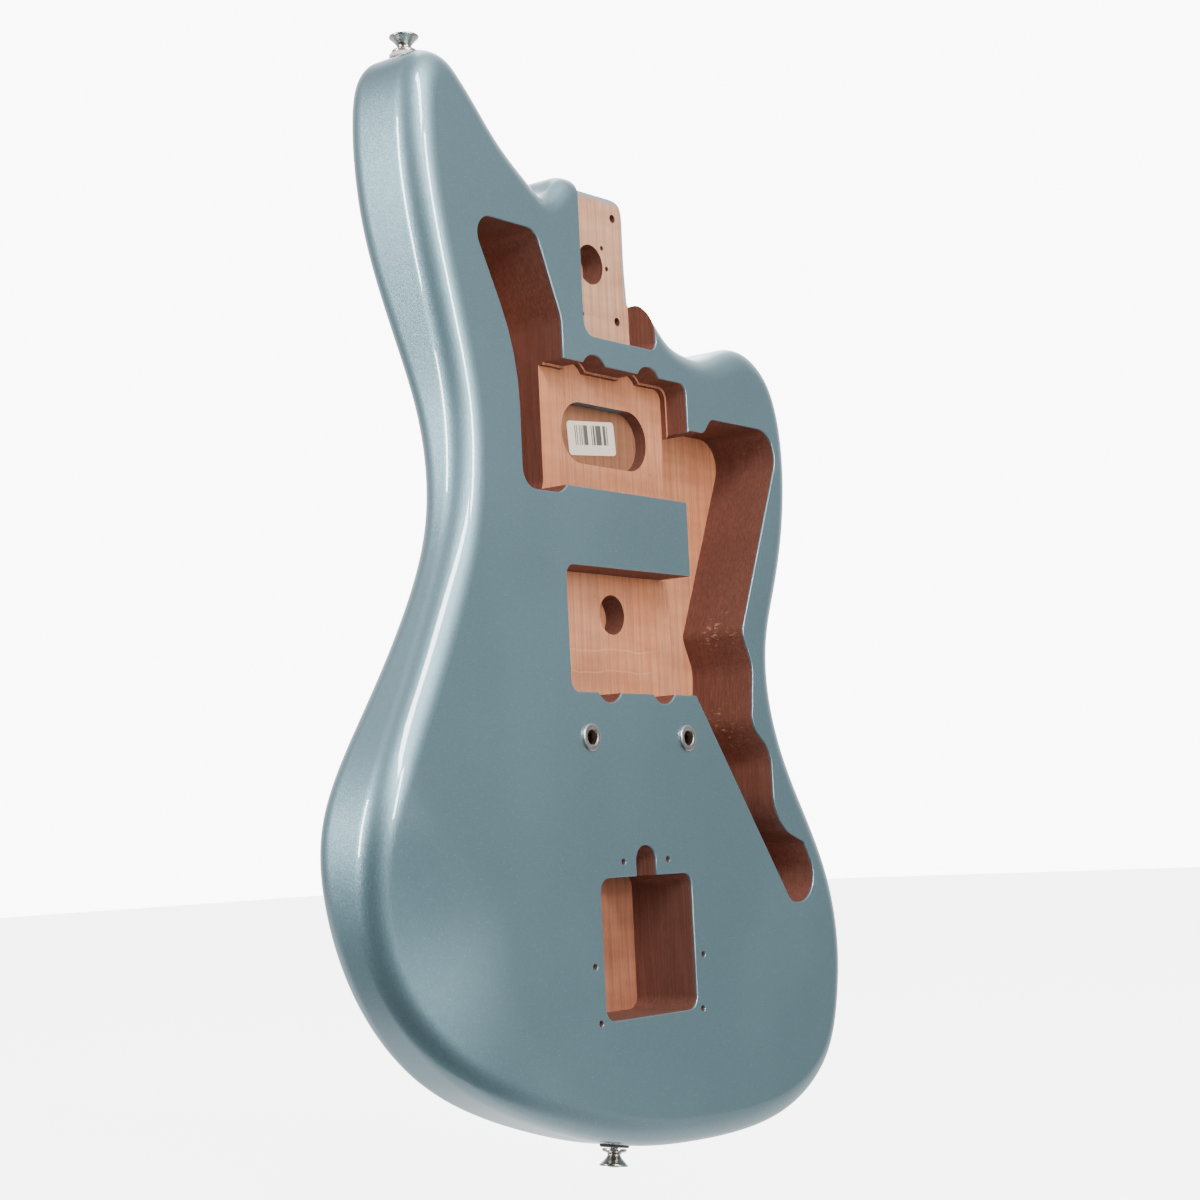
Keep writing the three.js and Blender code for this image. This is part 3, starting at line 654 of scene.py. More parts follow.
def make_cutters(routs, sizes, finishes):
    """Every cavity and hole of the body as one cutter each."""
    rim = routs.rim_radius / MM
    pocket = routs.pocket_depth / MM
    neck = routs.neck_pickup_depth / MM
    bridge = routs.bridge_pickup_depth / MM
    control = routs.control_depth / MM
    tremolo = routs.tremolo_depth / MM
    back = sizes.thickness / MM + OVERRUN
    rout, lever = tremolo_outlines()
    bridge_hole = circle(*BRIDGE_HOLE, BRIDGE_HOLE_RADIUS, 72)
    pocket_hole = circle(0, POCKET_HOLE_HEIGHT, POCKET_HOLE_RADIUS, 72)
    shapes = [
        ("pocket", pocket_outline(), pocket, rim),
        ("slot", switch_slot_outline(), control, rim),
        ("neck_ledge", neck_pickup_outline(0), LEDGE_DEPTH, rim),
        ("neck_floor", neck_pickup_outline(LEDGE_WIDTH), neck, 0),
        ("recess", recess_outline(), neck + RECESS_DEPTH, 0),
        ("bridge", bridge_pickup_outline(), bridge, rim),
        ("control", control_outline(), control, rim),
        ("tremolo", rout, tremolo, rim),
        ("lever", lever, tremolo, rim),
        ("bridge_hole", bridge_hole, bridge + BRIDGE_HOLE_DEPTH, 0),
        ("pocket_hole", pocket_hole, pocket + POCKET_HOLE_DEPTH, 0),
    ]
    for name, height, side, radius, bottom, edge in (
            ("notch", NECK_PICKUP_TOP, 1, NOTCH_RADIUS, LEDGE_DEPTH, rim),
            ("notch_floor", NECK_PICKUP_TOP, 1, NOTCH_RADIUS - LEDGE_WIDTH, neck, 0),
            ("notch_low", BRIDGE_PICKUP_BOTTOM, -1, NOTCH_RADIUS, bridge, rim)):
        shapes += [(name, outline, bottom, edge) for outline in notches(height, side, radius)]
    for row in (0, 1):
        for side in (-1, 1):
            across = side * SCREW_SPACING_ACROSS / 2
            height = ORIGIN_HEIGHT + row * SCREW_SPACING_ALONG
            shapes.append(("neck_screw", circle(across, height, NECK_SCREW_RADIUS, 24), back, 0))
    tooling = [
        (SCREW_SPACING_ACROSS / 4, POCKET_HOLE_HEIGHT + POCKET_HOLE_RADIUS),
        (SCREW_SPACING_ACROSS / 3, POCKET_HOLE_HEIGHT),
        (-SCREW_SPACING_ACROSS / 5, ORIGIN_HEIGHT),
    ]
    for across, height in tooling:
        hole = circle(across, height, TOOLING_HOLE_RADIUS, 20)
        shapes.append(("tooling", hole, pocket + TOOLING_HOLE_DEPTH, 0))
    for across, height in TREMOLO_SCREWS:
        for side in (-1, 1):
            hole = circle(side * across, height, TREMOLO_SCREW_RADIUS, 24)
            shapes.append(("tremolo_screw", hole, TREMOLO_SCREW_DEPTH, rim * 0.6))
    for side in (-1, 1):
        hole = circle(side * POST_HALF_SPACING, 0, THIMBLE_HOLE_RADIUS, 40)
        shapes.append(("thimble", hole, THIMBLE_HOLE_DEPTH, rim * 0.6))
    return [
        cutter(f"cut_{number:02d}_{name}", outline, bottom, finishes, edge)
        for number, (name, outline, bottom, edge) in enumerate(shapes)
    ]


def cut_all(blank, cutters):
    """Takes every cutter out of the blank at once and removes the cutters."""
    group = bpy.data.collections.new("cutters")
    bpy.context.scene.collection.children.link(group)
    for piece in cutters:
        group.objects.link(piece)
    add_modifier(blank, "BOOLEAN", operation="DIFFERENCE", operand_type="COLLECTION",
                 collection=group, solver="EXACT", material_mode="TRANSFER")
    apply_modifiers(blank)
    only(*cutters)
    bpy.ops.object.delete()
    bpy.data.collections.remove(group)


def split_board(body, name, glue_line, keep_bass):
    """A copy of the routed body cut along the glue line, with that side closed."""
    only(body)
    bpy.ops.object.duplicate()
    board = bpy.context.active_object
    board.name = name
    board.data.name = name
    edit_mode("SELECT")
    bpy.ops.mesh.bisect(plane_co=(glue_line, 0, 0), plane_no=(1, 0, 0), use_fill=True,
                        clear_outer=keep_bass, clear_inner=not keep_bass, threshold=1e-7)
    object_mode()
    wood = list(board.data.materials).index(bpy.data.materials["routed wall"])
    for face in board.data.polygons:
        if abs(face.center.x - glue_line) < 1e-6:
            face.material_index = wood
    return board


# Finishes


def operator(operation, swapped=False):
    """An operator of Number, which adds one Math node."""
    def run(first, second):
        values = (second, first) if swapped else (first, second)
        return first.nodes.math(operation, *values)
    return run


class Number:
    """A number that may change over a surface. Sums on it add Math nodes."""

    def __init__(self, nodes, socket):
        self.nodes = nodes
        self.socket = socket

    def __abs__(self):
        return self.nodes.math("ABSOLUTE", self)

    __add__ = operator("ADD")
    __radd__ = operator("ADD", swapped=True)
    __sub__ = operator("SUBTRACT")
    __rsub__ = operator("SUBTRACT", swapped=True)
    __mul__ = operator("MULTIPLY")
    __truediv__ = operator("DIVIDE")


class Nodes:
    """A node tree under construction, with the coordinates that its patterns are laid out in."""

    def __init__(self, tree, coordinates):
        self.tree = tree
        self.place = self.node("ShaderNodeTexCoord", {}, {}).outputs[coordinates]
        axes = self.node("ShaderNodeSeparateXYZ", {}, {0: self.place})
        self.x, self.y, self.z = (Number(self, axes.outputs[i]) for i in range(3))

    def node(self, kind, settings, inputs):
        node = self.tree.nodes.new(kind)
        for name, value in settings.items():
            setattr(node, name, value)
        for key, value in inputs.items():
            self.feed(node.inputs[key], value)
        return node

    def feed(self, socket, value):
        if isinstance(value, Number):
            self.tree.links.new(value.socket, socket)
        elif isinstance(value, bpy.types.NodeSocket):
            self.tree.links.new(value, socket)
        elif socket.type == "RGBA" and len(value) == 3:
            socket.default_value = (*value, 1)
        else:
            socket.default_value = value

    def math(self, operation, *values):
        node = self.node("ShaderNodeMath", {"operation": operation}, dict(enumerate(values)))
        return Number(self, node.outputs[0])

    def noise(self, scale, detail=4, roughness=0.55, stretch=(1, 1, 1), turn=(0, 0, 0)):
        """A noise whose coordinates may be scaled along each axis, for grain and streaks."""
        place = self.place
        if stretch != (1, 1, 1):
            inputs = {"Vector": place, "Rotation": turn, "Scale": stretch}
            place = self.node("ShaderNodeMapping", {}, inputs).outputs[0]
        inputs = {"Vector": place, "Scale": scale, "Detail": detail, "Roughness": roughness}
        return Number(self, self.node("ShaderNodeTexNoise", {}, inputs).outputs["Fac"])

    def cells(self, scale):
        """One random colour per small cell."""
        inputs = {"Vector": self.place, "Scale": scale}
        return self.node("ShaderNodeTexVoronoi", {}, inputs).outputs["Color"]

    def grow(self, value, low, high):
        """Rises smoothly from 0 at low to 1 at high, or falls if low is the larger."""
        settings = {"interpolation_type": "SMOOTHSTEP", "clamp": True}
        if low > high:
            return 1 - self.grow(value, high, low)
        inputs = {"Value": value, "From Min": low, "From Max": high}
        return Number(self, self.node("ShaderNodeMapRange", settings, inputs).outputs[0])

    def band(self, value, low, high, soft):
        """1 between low and high, with soft ends."""
        return self.grow(value, low - soft, low + soft) * self.grow(value, high + soft, high - soft)

    def mix(self, share, first, second, blend="MIX"):
        settings = {"data_type": "RGBA", "blend_type": blend}
        node = self.node("ShaderNodeMix", settings, {0: share, 6: first, 7: second})
        return node.outputs[2]

    def tinted(self, base, tint):
        return self.mix(1.0, base, tint, "MULTIPLY")

    def clouded(self, cloud, low, high, base, first, second):
        """Drifts between two shades of a colour where a noise goes from low to high."""
        return self.mix(self.grow(cloud, low, high), shade(base, first), shade(base, second))

    def vector(self, operation, *values):
        node = self.node("ShaderNodeVectorMath", {"operation": operation}, dict(enumerate(values)))
        return node.outputs[0]

    def distance(self, point):
        settings = {"operation": "DISTANCE"}
        node = self.node("ShaderNodeVectorMath", settings, {0: self.place, 1: tuple(point)})
        return Number(self, node.outputs["Value"])

    def bump(self, height, depth, strength):
        inputs = {"Height": height, "Distance": depth * MM, "Strength": strength}
        return self.node("ShaderNodeBump", {}, inputs).outputs[0]


class Finish(Nodes):
    """A procedural material under construction."""

    def __init__(self, name):
        self.material = bpy.data.materials.new(name)
        self.material.use_nodes = True
        super().__init__(self.material.node_tree, "Object")
        self.shader = self.tree.nodes["Principled BSDF"]

    def set(self, **values):
        for name, value in values.items():
            self.feed(self.shader.inputs[name.replace("_", " ")], value)


def shade(value, factor):
    return tuple(min(part * factor, 1) for part in value)


def make_lacquer(colours):
    """Ice blue metallic lacquer with fine flakes under a clear gloss coat."""
    finish = Finish("ice blue lacquer")
    cloud = finish.noise(9, detail=2)
    flakes = finish.cells(2600)
    sparkle = finish.grow(finish.noise(1900, detail=1), 0.62, 0.75)
    base = finish.clouded(cloud, 0.35, 0.7, colours.lacquer, 0.95, 1.06)
    base = finish.mix(sparkle * 0.5, base, tuple(colours.flake))
    tilt = finish.vector("SUBTRACT", flakes, (0.5, 0.5, 0.5))
    tilt = finish.vector("SCALE", tilt)
    tilt.node.inputs["Scale"].default_value = 0.09
    facing = finish.node("ShaderNodeNewGeometry", {}, {}).outputs["Normal"]
    flake_normal = finish.vector("NORMALIZE", finish.vector("ADD", facing, tilt))
    finish.set(Base_Color=base, Metallic=0.9, Roughness=0.46, Normal=flake_normal)
    finish.set(Coat_Weight=1.0, Coat_Roughness=0.035, Coat_IOR=1.7)
    return finish.material


def wood_grain(finish, board_shift):
    """Straight growth lines along Z, fine streaks and short dark pores, each from 0 to 1."""
    wander = finish.noise(14, detail=3, stretch=(1, 1, 0.12))
    across = finish.x + finish.y * 0.35 + (wander - 0.5) * 0.012 + board_shift
    lines = finish.math("FRACT", across / 0.0062)
    lines = finish.grow(lines, 0.55, 0.95) * finish.grow(lines, 1.0, 0.95)
    streaks = finish.noise(900, detail=5, roughness=0.65, stretch=(1, 1, 0.03))
    pores = finish.noise(2600, detail=2, stretch=(1, 1, 0.07))
    return lines, finish.grow(streaks, 0.3, 0.72), finish.grow(pores, 0.66, 0.74)


def make_floor_wood(colours):
    """Raw wood on the cavity floors, paler in the neck pocket, with router marks and painted shade
    in the label recess.
    """
    finish = Finish("routed floor")
    bass_board = finish.grow(finish.x, -0.03095, -0.03105)
    lines, streaks, pores = wood_grain(finish, bass_board * 0.017)
    cloud = finish.noise(38, detail=3, stretch=(1, 1, 0.25))
    pocket = finish.grow(finish.z, -0.0175, -0.0165) * finish.band(finish.x, -0.03, 0.03, 0.001)
    base = finish.mix(pocket, tuple(colours.floor_wood), tuple(colours.pocket_wood))
    base = finish.mix(finish.grow(cloud, 0.3, 0.75) * 0.7, base, (0.55, 0.25, 0.14))
    tremolo = finish.grow(finish.z, -0.25, -0.254) * finish.band(finish.x, -0.035, 0.035, 0.001)
    base = finish.mix(tremolo * 0.9, base, (0.3, 0.113, 0.06))
    # Painted shade: the floor of the label recess under the neck pickup is darkened to a deep brown
    # for the shadow that falls into it.
    recess = finish.grow(finish.y, 0.002, 0.003) * finish.band(finish.z, -0.075, -0.04, 0.001)
    recess = recess * finish.band(finish.x, -0.035, 0.042, 0.001)
    base = finish.mix(recess, base, (0.3, 0.128, 0.063))
    dark = finish.tinted(base, (0.66, 0.56, 0.5))
    light = finish.tinted(base, (1.12, 1.1, 1.06))
    curl = finish.noise(52, detail=3, stretch=(0.3, 1, 1.5))
    streaks = streaks * 0.55 + finish.grow(curl, 0.32, 0.68) * 0.45
    wood = finish.mix(streaks, dark, light)
    wood = finish.mix(lines * 0.5, wood, dark)
    wood = finish.mix(pores * 0.75, wood, (0.11, 0.045, 0.03))
    wood = finish.mix(bass_board * 0.22, wood, light)
    glue = finish.band(finish.x, -0.0311, -0.0309, 0.00012)
    wood = finish.mix(glue * 0.45, wood, (0.2, 0.09, 0.05))
    ridges = router_ridges(finish)
    wood = finish.mix(ridges * 0.2, wood, (0.86, 0.56, 0.4))
    crack = crack_line(finish)
    wood = finish.mix(crack, wood, (0.1, 0.04, 0.03))
    spray = pocket_spray(finish, pocket)
    wood = finish.mix(spray, wood, (0.22, 0.36, 0.42))
    relief = streaks * 0.6 - pores * 0.5 + ridges * 0.8 - crack * 2
    finish.set(Base_Color=wood, Roughness=0.72, Normal=finish.bump(relief, 0.12, 0.7))
    return finish.material


def router_ridges(finish):
    """Two low wavy ridges that the router left across the bridge pickup's floor."""
    inside = finish.band(finish.x, -0.044, 0.036, 0.003)
    wave = finish.noise(60, detail=2, stretch=(1, 1, 0.01))
    total = None
    for height in (42, 32):
        level = (height - ORIGIN_HEIGHT) * MM
        offset = finish.z - level + (wave - 0.5) * 0.006
        ridge = finish.band(offset, -0.0003, 0.0003, 0.0003) * inside
        total = ridge if total is None else total + ridge
    return total


def crack_line(finish):
    """A short dark crack beside the hole in the bridge pickup's floor."""
    low = (53 - ORIGIN_HEIGHT) * MM
    high = (72 - ORIGIN_HEIGHT) * MM
    wave = finish.noise(90, detail=2)
    offset = finish.x + 0.0382 + (wave - 0.5) * 0.002 + (finish.z - low) * 0.05
    return finish.band(offset, -0.00012, 0.00012, 0.0001) * finish.band(finish.z, low, high, 0.002)


def pocket_spray(finish, pocket):
    """Blue overspray along the open ends of the neck pocket and in smudges near its end."""
    edge = finish.grow(finish.z, (HEEL_END - 3.5 - ORIGIN_HEIGHT) * MM,
                       (HEEL_END - ORIGIN_HEIGHT) * MM)
    side = finish.grow(finish.x, (POCKET_RIGHT - 4.2) * MM, (POCKET_RIGHT - 1.8) * MM)
    side = side * finish.grow(finish.z, 0.009, 0.014)
    smudge = finish.grow(finish.distance(at(-14, 16, 197)), 0.016, 0.004)
    cloud = finish.noise(210, detail=4)
    smudge = smudge * finish.grow(cloud, 0.5, 0.62)
    spread = finish.math("MAXIMUM", finish.math("MAXIMUM", edge, side), smudge * 0.6)
    return spread * pocket * 0.85


def make_wall_wood(colours):
    """Raw wood on the cavity walls, with blue overspray, torn fibres and painted shade in the label
    recess.
    """
    finish = Finish("routed wall")
    streaks, pores = wood_grain(finish, 0.0)[1:]
    cloud = finish.noise(30, detail=3, stretch=(1, 1, 0.3))
    base = finish.clouded(cloud, 0.3, 0.7, colours.wall_wood, 1, 0.78)
    dark = finish.tinted(base, (0.72, 0.66, 0.62))
    wood = finish.mix(streaks, dark, base)
    wood = finish.mix(pores * 0.25, wood, (0.4, 0.2, 0.13))
    spray = finish.grow(finish.y, (1.6 - ORIGIN_DEPTH) * MM, (0.4 - ORIGIN_DEPTH) * MM)
    wood = finish.mix(spray * 0.5, wood, (0.16, 0.22, 0.25))
    # Painted shade: the walls of the label recess below the neck pickup's floor, at its upper end,
    # take a dark grey-blue for the shadow that falls there.
    recess = finish.grow(finish.y, -0.0012, -0.0006) * finish.band(finish.z, -0.05, -0.035, 0.002)
    recess = recess * finish.band(finish.x, -0.035, 0.022, 0.004)
    wood = finish.mix(recess * 0.85, wood, (0.12, 0.19, 0.22))
    torn = tear_out(finish)
    wood = finish.mix(torn * 0.7, wood, (0.55, 0.29, 0.18))
    relief = streaks * 0.5 - pores * 0.3 + torn * 3
    finish.set(Base_Color=wood, Roughness=0.78, Normal=finish.bump(relief, 0.12, 0.6))
    return finish.material


def tear_out(finish):
    """Torn pale fibres at two places on the control cavity's outer wall."""
    fibres = finish.noise(620, detail=3, stretch=(1, 0.45, 1), turn=(0.5, 0, 0.3))
    fibres = finish.grow(fibres, 0.6, 0.68)
    total = None
    for across, depth, height in ((90, 16, 53), (96, 20, 5)):
        reach = finish.grow(finish.distance(at(across, depth, height)), 0.016, 0.004)
        total = reach if total is None else total + reach
    return fibres * total


def make_metal(name, base, roughness, grime):
    """Worn nickel with fine rings and a little dirt in random patches."""
    finish = Finish(name)
    cloud = finish.noise(420, detail=4)
    rings = finish.noise(5200, detail=2)
    worn = finish.clouded(cloud, 0.35, 0.7, base, 0.86, 1.08)
    worn = finish.mix(finish.grow(cloud, 0.62, 0.75) * grime, worn, (0.2, 0.16, 0.12))
    finish.set(Base_Color=worn, Metallic=1.0, Roughness=roughness + cloud * 0.16,
               Normal=finish.bump(rings, 0.02, 0.25))
    return finish.material


def make_thimble_metal(colours):
    """Bright nickel outside and an older, darker bore."""
    finish = Finish("thimble nickel")
    cloud = finish.noise(380, detail=4)
    bore = finish.grow(finish.y, (0.3 - ORIGIN_DEPTH) * MM, (3.0 - ORIGIN_DEPTH) * MM)
    base = finish.clouded(cloud, 0.35, 0.7, colours.nickel, 0.85, 1.12)
    base = finish.mix(bore, base, (0.3, 0.21, 0.12))
    finish.set(Base_Color=base, Metallic=1.0, Roughness=0.26 + cloud * 0.14,
               Normal=finish.bump(finish.noise(4000, detail=2), 0.02, 0.25))
    return finish.material


def make_felt(name, base):
    finish = Finish(name)
    fibres = finish.noise(2600, detail=5, roughness=0.7)
    cloud = finish.noise(500, detail=3)
    wool = finish.clouded(fibres, 0.3, 0.7, base, 0.72, 1.12)
    wool = finish.mix(finish.grow(cloud, 0.5, 0.8) * 0.4, wool, shade(base, 0.8))
    finish.set(Base_Color=wool, Roughness=0.95, Normal=finish.bump(fibres, 0.12, 0.8))
    finish.set(Sheen_Weight=0.3, Sheen_Roughness=0.6)
    return finish.material


def make_paper(colours):
    """Aged paper with a plain block of dark bars of mixed widths."""
    finish = Finish("label paper")
    middle = at(*LABEL_MIDDLE)
    turned_place = finish.node("ShaderNodeVectorRotate", {"rotation_type": "Y_AXIS"}, {
        "Vector": finish.place, "Center": tuple(middle), "Angle": math.radians(LABEL_TURN)})
    axes = finish.node("ShaderNodeSeparateXYZ", {}, {0: turned_place.outputs[0]})
    across = Number(finish, axes.outputs[0]) - middle.x
    up = Number(finish, axes.outputs[2]) - middle.z
    block = finish.band(across, -0.0128, 0.0128, 0.00015)
    block = block * finish.band(up, -0.0032, 0.0062, 0.00015)
    step = finish.math("FLOOR", across / (BAR_WIDTH * MM))
    ink = finish.node("ShaderNodeTexWhiteNoise", {"noise_dimensions": "1D"}, {"W": step})
    bars = finish.grow(Number(finish, ink.outputs["Value"]), 0.44, 0.48) * block
    fibre = finish.noise(1500, detail=4)
    sheet = finish.clouded(fibre, 0.3, 0.7, colours.paper, 0.92, 1.05)
    sheet = finish.mix(bars * 0.9, sheet, (0.03, 0.03, 0.035))
    finish.set(Base_Color=sheet, Roughness=0.6, Normal=finish.bump(fibre, 0.03, 0.4))
    return finish.material


# Making the pieces


def screw_axis(node):
    """The wood end and the direction of a strap screw, read from its two end points."""
    points = [vertex.co.copy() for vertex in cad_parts[node].data.vertices]
    middle = sum(points, Vector()) / len(points)
    body_middle = at(0, 22, 0)
    tip = min(points, key=lambda point: (point - body_middle).length)
    top = max(points, key=lambda point: (point - tip).length)
    if (middle - tip).length < 1e-6:
        raise RuntimeError("the strap screw has no length")
    direction = (top - tip).normalized()
    return tip + direction * STRAP_SCREW_LENGTH * MM, direction


def require_nodes(names):
    """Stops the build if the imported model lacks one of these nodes."""
    for name in names:
        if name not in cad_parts:
            raise RuntimeError(f"the packed model has no {name}")


class MakeBoards(bpy.types.Operator):
    """Makes the lofted blank, routs its cavities and splits it along the glue line"""

    bl_idname = "guitarbody.make_boards"
    bl_label = "Boards"

    def execute(self, context):
        scene = context.scene
        sizes = scene.blank_sizes
        colours = scene.body_colours
        require_nodes(["board_bass", "board_treble"])
        finishes = {
            "lacquer": make_lacquer(colours),
            "wall": make_wall_wood(colours),
            "floor": make_floor_wood(colours),
        }
        blank = lofted("blank", blank_rings(sizes))
        for finish in FINISHES:
            blank.data.materials.append(finishes[finish])
        cut_all(blank, make_cutters(scene.rout_sizes, sizes, finishes))
        for name, keep_bass in (("bass_board_lacquered", True), ("treble_board_lacquered", False)):
            board = split_board(blank, name, sizes.glue_line, keep_bass)
            smooth(board, 35)
            even_normals(board)
            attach(board, "root")
            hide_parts("board_bass" if keep_bass else "board_treble")
        only(blank)
        bpy.ops.object.delete()
        return {"FINISHED"}


class MakeThimbles(bpy.types.Operator):
    """Turns the two thimbles that hold the bridge posts"""

    bl_idname = "guitarbody.make_thimbles"
    bl_label = "Bridge thimbles"

    def execute(self, context):
        hardware = context.scene.hardware_sizes
        metal = make_thimble_metal(context.scene.body_colours)
        tube = hardware.thimble_radius / MM
        flange = hardware.flange_radius / MM
        profile = [
            (0, -THIMBLE_LENGTH), (tube, -THIMBLE_LENGTH), (tube, 0), (flange, 0), (flange, 0.75),
            (flange - 0.35, 1.1), (flange - 0.7, 1.2), (4.15, 1.2), (3.75, 1.05),
            (THIMBLE_BORE, 0.6), (THIMBLE_BORE, THIMBLE_FLOOR - THIMBLE_LENGTH),
            (0, THIMBLE_FLOOR - THIMBLE_LENGTH),
        ]
        for side, sign in (("bass", -1), ("treble", 1)):
            thimble = turned(f"thimble_{side}", profile, steps=72, bevel=0.08, segments=2)
            place_on_axis(thimble, at(sign * POST_HALF_SPACING, 0, 0), Vector((0, -1, 0)))
            thimble.data.materials.append(metal)
            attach(thimble, "root")
            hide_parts(f"bridge_thimble_{side}")
        return {"FINISHED"}


def cross_recess(screw, seat):
    """Cuts the cross recess into a screw's head with two tapered blades."""
    blades = []
    for number in (0, 1):
        bpy.ops.object.select_all(action="DESELECT")
        bpy.ops.mesh.primitive_cube_add(size=1)
        blade = bpy.context.active_object
        blade.dimensions = Vector((4.4, 0.95, 3.2)) * MM
        blade.rotation_euler.z = number * math.pi / 2
        blade.location.z = (seat + 1.2) * MM
        bpy.ops.object.transform_apply(location=True, rotation=True, scale=True)
        edit_mode("DESELECT")
        work = bmesh.from_edit_mesh(blade.data)
        for face in work.faces:
            face.select = face.normal.z < -0.9
        bmesh.update_edit_mesh(blade.data)
        bpy.ops.transform.resize(value=(0.4, 0.4, 1))
        object_mode()
        blades.append(blade)
    for blade in blades:
        add_modifier(screw, "BOOLEAN", object=blade, operation="DIFFERENCE", solver="EXACT")
    apply_modifiers(screw)
    only(*blades)
    bpy.ops.object.delete()


class MakeStrapButtons(bpy.types.Operator):
    """Turns both strap buttons with their screws, a pale felt washer for the upper one and a
    near-black washer for the lower one
    """

    bl_idname = "guitarbody.make_strap_buttons"
    bl_label = "Strap buttons"

    def execute(self, context):
        scene = context.scene
        hardware = scene.hardware_sizes
        nickel = make_metal("button nickel", tuple(scene.body_colours.nickel), 0.2, 0.3)
        steel = make_metal("screw nickel", shade(scene.body_colours.nickel, 0.85), 0.3, 0.5)
        pale = make_felt("pale felt", tuple(scene.body_colours.felt))
        # A near-black washer for the lower button.
        dark = make_felt("near black washer", (0.05, 0.05, 0.055))
        radius = hardware.button_radius / MM
        height = hardware.button_height / MM
        washer_radius = hardware.washer_radius / MM
        seat = height - BUTTON_LIP - BUTTON_DISH
        button_profile = [
            (BUTTON_HOLE_RADIUS, 0), (5.7, 0), (5.7, 0.9), (5.1, 1.5), (3.9, 1.8), (3.2, 2.1),
            (3, 2.6), (3.05, 3.1), (3.7, 4.2), (5.2, 5.9), (radius - 0.1, height - 0.95),
            (radius, height - 0.6), (radius - 0.1, height - 0.15), (radius - 0.6, height),
            (radius - 1.4, height - 0.1), (4.5, seat + 2.4), (BUTTON_HOLE_RADIUS, seat),
        ]
        point = -STRAP_SCREW_LENGTH - BUTTON_BASE
        screw_profile = [
            (0, point), (STRAP_SCREW_RADIUS, point + STRAP_SCREW_POINT),
            (STRAP_SCREW_RADIUS, seat + 0.3), (3.8, seat + 2.3), (3.7, seat + 2.55),
            (3.0, seat + 2.95), (2.0, seat + 3.25), (0, seat + 3.4),
        ]
        for place, felt in (("upper", pale), ("lower", dark)):
            origin, direction = screw_axis(f"strap_screw_{place}")
            button = turned(f"strap_button_{place}_turned", button_profile, bevel=0.1)
            screw = turned(f"strap_screw_{place}_turned", screw_profile, steps=64)
            cross_recess(screw, seat)
            smooth(screw, 32)
            metals = ((button, nickel, "strap_button"), (screw, steel, "strap_screw"))
            for piece, metal, node in metals:
                place_on_axis(piece, origin + direction * BUTTON_BASE * MM, direction)
                piece.data.materials.append(metal)
                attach(piece, "root")
                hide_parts(f"{node}_{place}")
            washer = self.washer(place, washer_radius, origin, direction)
            washer.data.materials.append(felt)
            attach(washer, "root")
            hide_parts(f"strap_washer_{place}")
        return {"FINISHED"}

    def washer(self, place, radius, origin, direction):
        """A soft ring whose underside sinks onto the round edge of the body."""
        profile = [
            (BUTTON_HOLE_RADIUS, -0.6), (radius - 0.5, -0.9), (radius - 0.1, -0.6), (radius, 0.1),
            (radius - 0.2, 0.85), (radius - 0.7, 1.15), (2.3, 1.2),
            (BUTTON_HOLE_RADIUS, 1.0),
        ]
        washer = turned(f"strap_washer_{place}_felt", profile)
        place_on_axis(washer, origin, direction)
        return washer


class MakeLabel(bpy.types.Operator):
    """Gives the label in the floor recess its paper"""

    bl_idname = "guitarbody.make_label"
    bl_label = "Label"

    def execute(self, context):
        require_nodes(["label"])
        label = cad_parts["label"]
        label.data.materials.clear()
        label.data.materials.append(make_paper(context.scene.body_colours))
        return {"FINISHED"}


# Stage

CAMERA_PLACE = Vector((-0.83828, -0.6421, -0.24548))
CAMERA_FORWARD = Vector((0.78781, 0.60726, 0.10288))
CAMERA_UP = Vector((-0.05232, -0.10046, 0.99357))
CAMERA_LENS = 68.04
CAMERA_SHIFT = (0.0004, 0.0016)
CAMERA_AZIMUTH = -142.4
FLOOR_HEIGHT = -0.43
STAGE_MIDDLE = Vector((0, 0, -0.15))


def add_strip(name, azimuth, elevation, distance, width, height, roll, power):
    """A soft box in a direction from the body, given in degrees, that faces the body's middle."""
    turn = Matrix.Rotation(math.radians(azimuth), 4, "Z")
    turn = turn @ Matrix.Rotation(-math.radians(elevation), 4, "Y")
    place = STAGE_MIDDLE + turn @ Vector((distance, 0, 0))
    bpy.ops.object.light_add(type="AREA", location=place)
    light = bpy.context.active_object
    light.name = name
    light.data.shape = "RECTANGLE"
    light.data.size = width
    light.data.size_y = height
    light.data.energy = power
    aim = (STAGE_MIDDLE - place).to_track_quat("-Z", "Y").to_matrix().to_4x4()
    spin = Matrix.Rotation(math.radians(roll), 4, "Z")
    light.matrix_world = Matrix.Translation(place) @ aim @ spin
    return light


